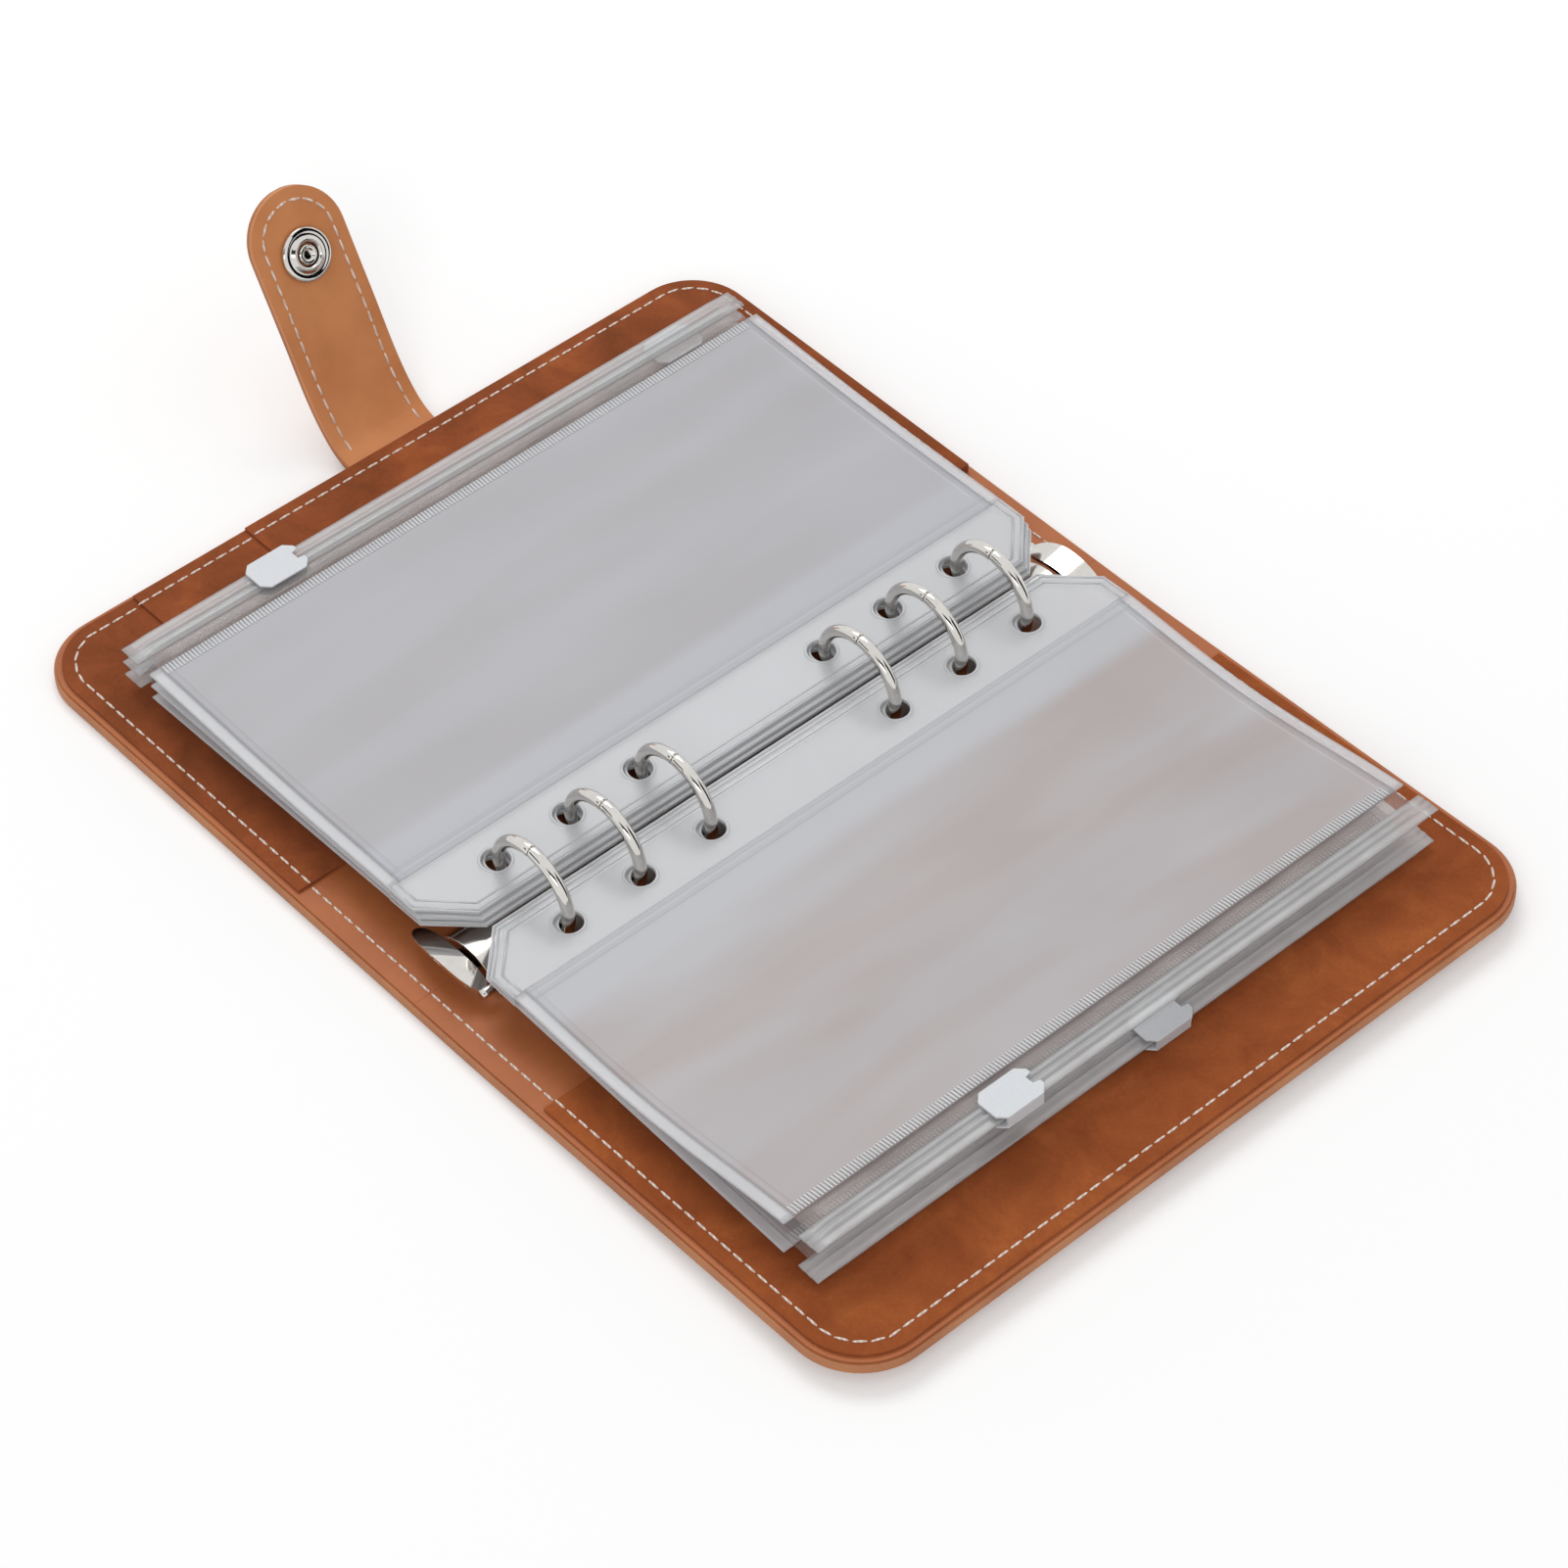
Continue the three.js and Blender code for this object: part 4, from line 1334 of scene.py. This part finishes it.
# %% Sky
world = bpy.data.worlds.new("even_sky")
world.use_nodes = True
sky = world.node_tree
sky.nodes.clear()
level = add(sky, "ShaderNodeMapRange", {"Value": seen_directly(sky), "To Min": 0.6, "To Max": 1.0})
back = add(sky, "ShaderNodeBackground", {"Color": linear("#FFFFFF"), "Strength": level.outputs[0]})
add(sky, "ShaderNodeOutputWorld", {"Surface": back.outputs[0]})
bpy.context.scene.world = world
print("ground and sky:", floor.name, world.name)


# %% Lamps
def soft_lamp(name, place, size, power):
    lamp = bpy.data.lights.new(name, "AREA")
    lamp.shape = "RECTANGLE"
    lamp.size, lamp.size_y = size
    lamp.energy = power
    made = place_object(name, lamp)
    made.location = place
    made.rotation_euler = (-Vector(place)).to_track_quat("-Z", "Y").to_euler()


soft_lamp("window_softbox", (-0.9, 0.5, 1.5), (1.1, 0.8), 11.0)
soft_lamp("fill_softbox", (1.0, -1.2, 1.3), (0.9, 0.9), 6.0)

# %% Black cards
CARD_DISTANCE = 1.8
card_felt, tree, place = start_finish("card_black_felt")
surface(card_felt, add(tree, "ShaderNodeBsdfDiffuse", {"Color": linear("#101010")}))


def black_card(name, azimuth, elevation, width, height):
    # Only glossy rays see a card: dark stripes in the nickel, and hardly any change elsewhere
    away = Vector((0, -1, 0))
    away.rotate(Euler((-math.radians(elevation), 0, math.radians(azimuth))))
    card = bpy.data.meshes.new(name)
    corners = [(-width, -height, 0), (width, -height, 0), (width, height, 0), (-width, height, 0)]
    card.from_pydata([Vector(c) / 2 for c in corners], [], [(0, 1, 2, 3)])
    card.materials.append(card_felt)
    made = place_object(name, card)
    made.location = away * CARD_DISTANCE
    made.rotation_euler = away.to_track_quat("Z", "Y").to_euler()
    for rays in ("camera", "shadow", "diffuse", "transmission"):
        setattr(made, f"visible_{rays}", False)


black_card("card_behind_camera", 48, 46, 1.3, 0.5)
black_card("card_right", 130, 24, 0.9, 1.5)
black_card("card_front_left", -25, 22, 0.9, 0.5)

# %% View
bpy.context.scene.view_settings.view_transform = "Standard"
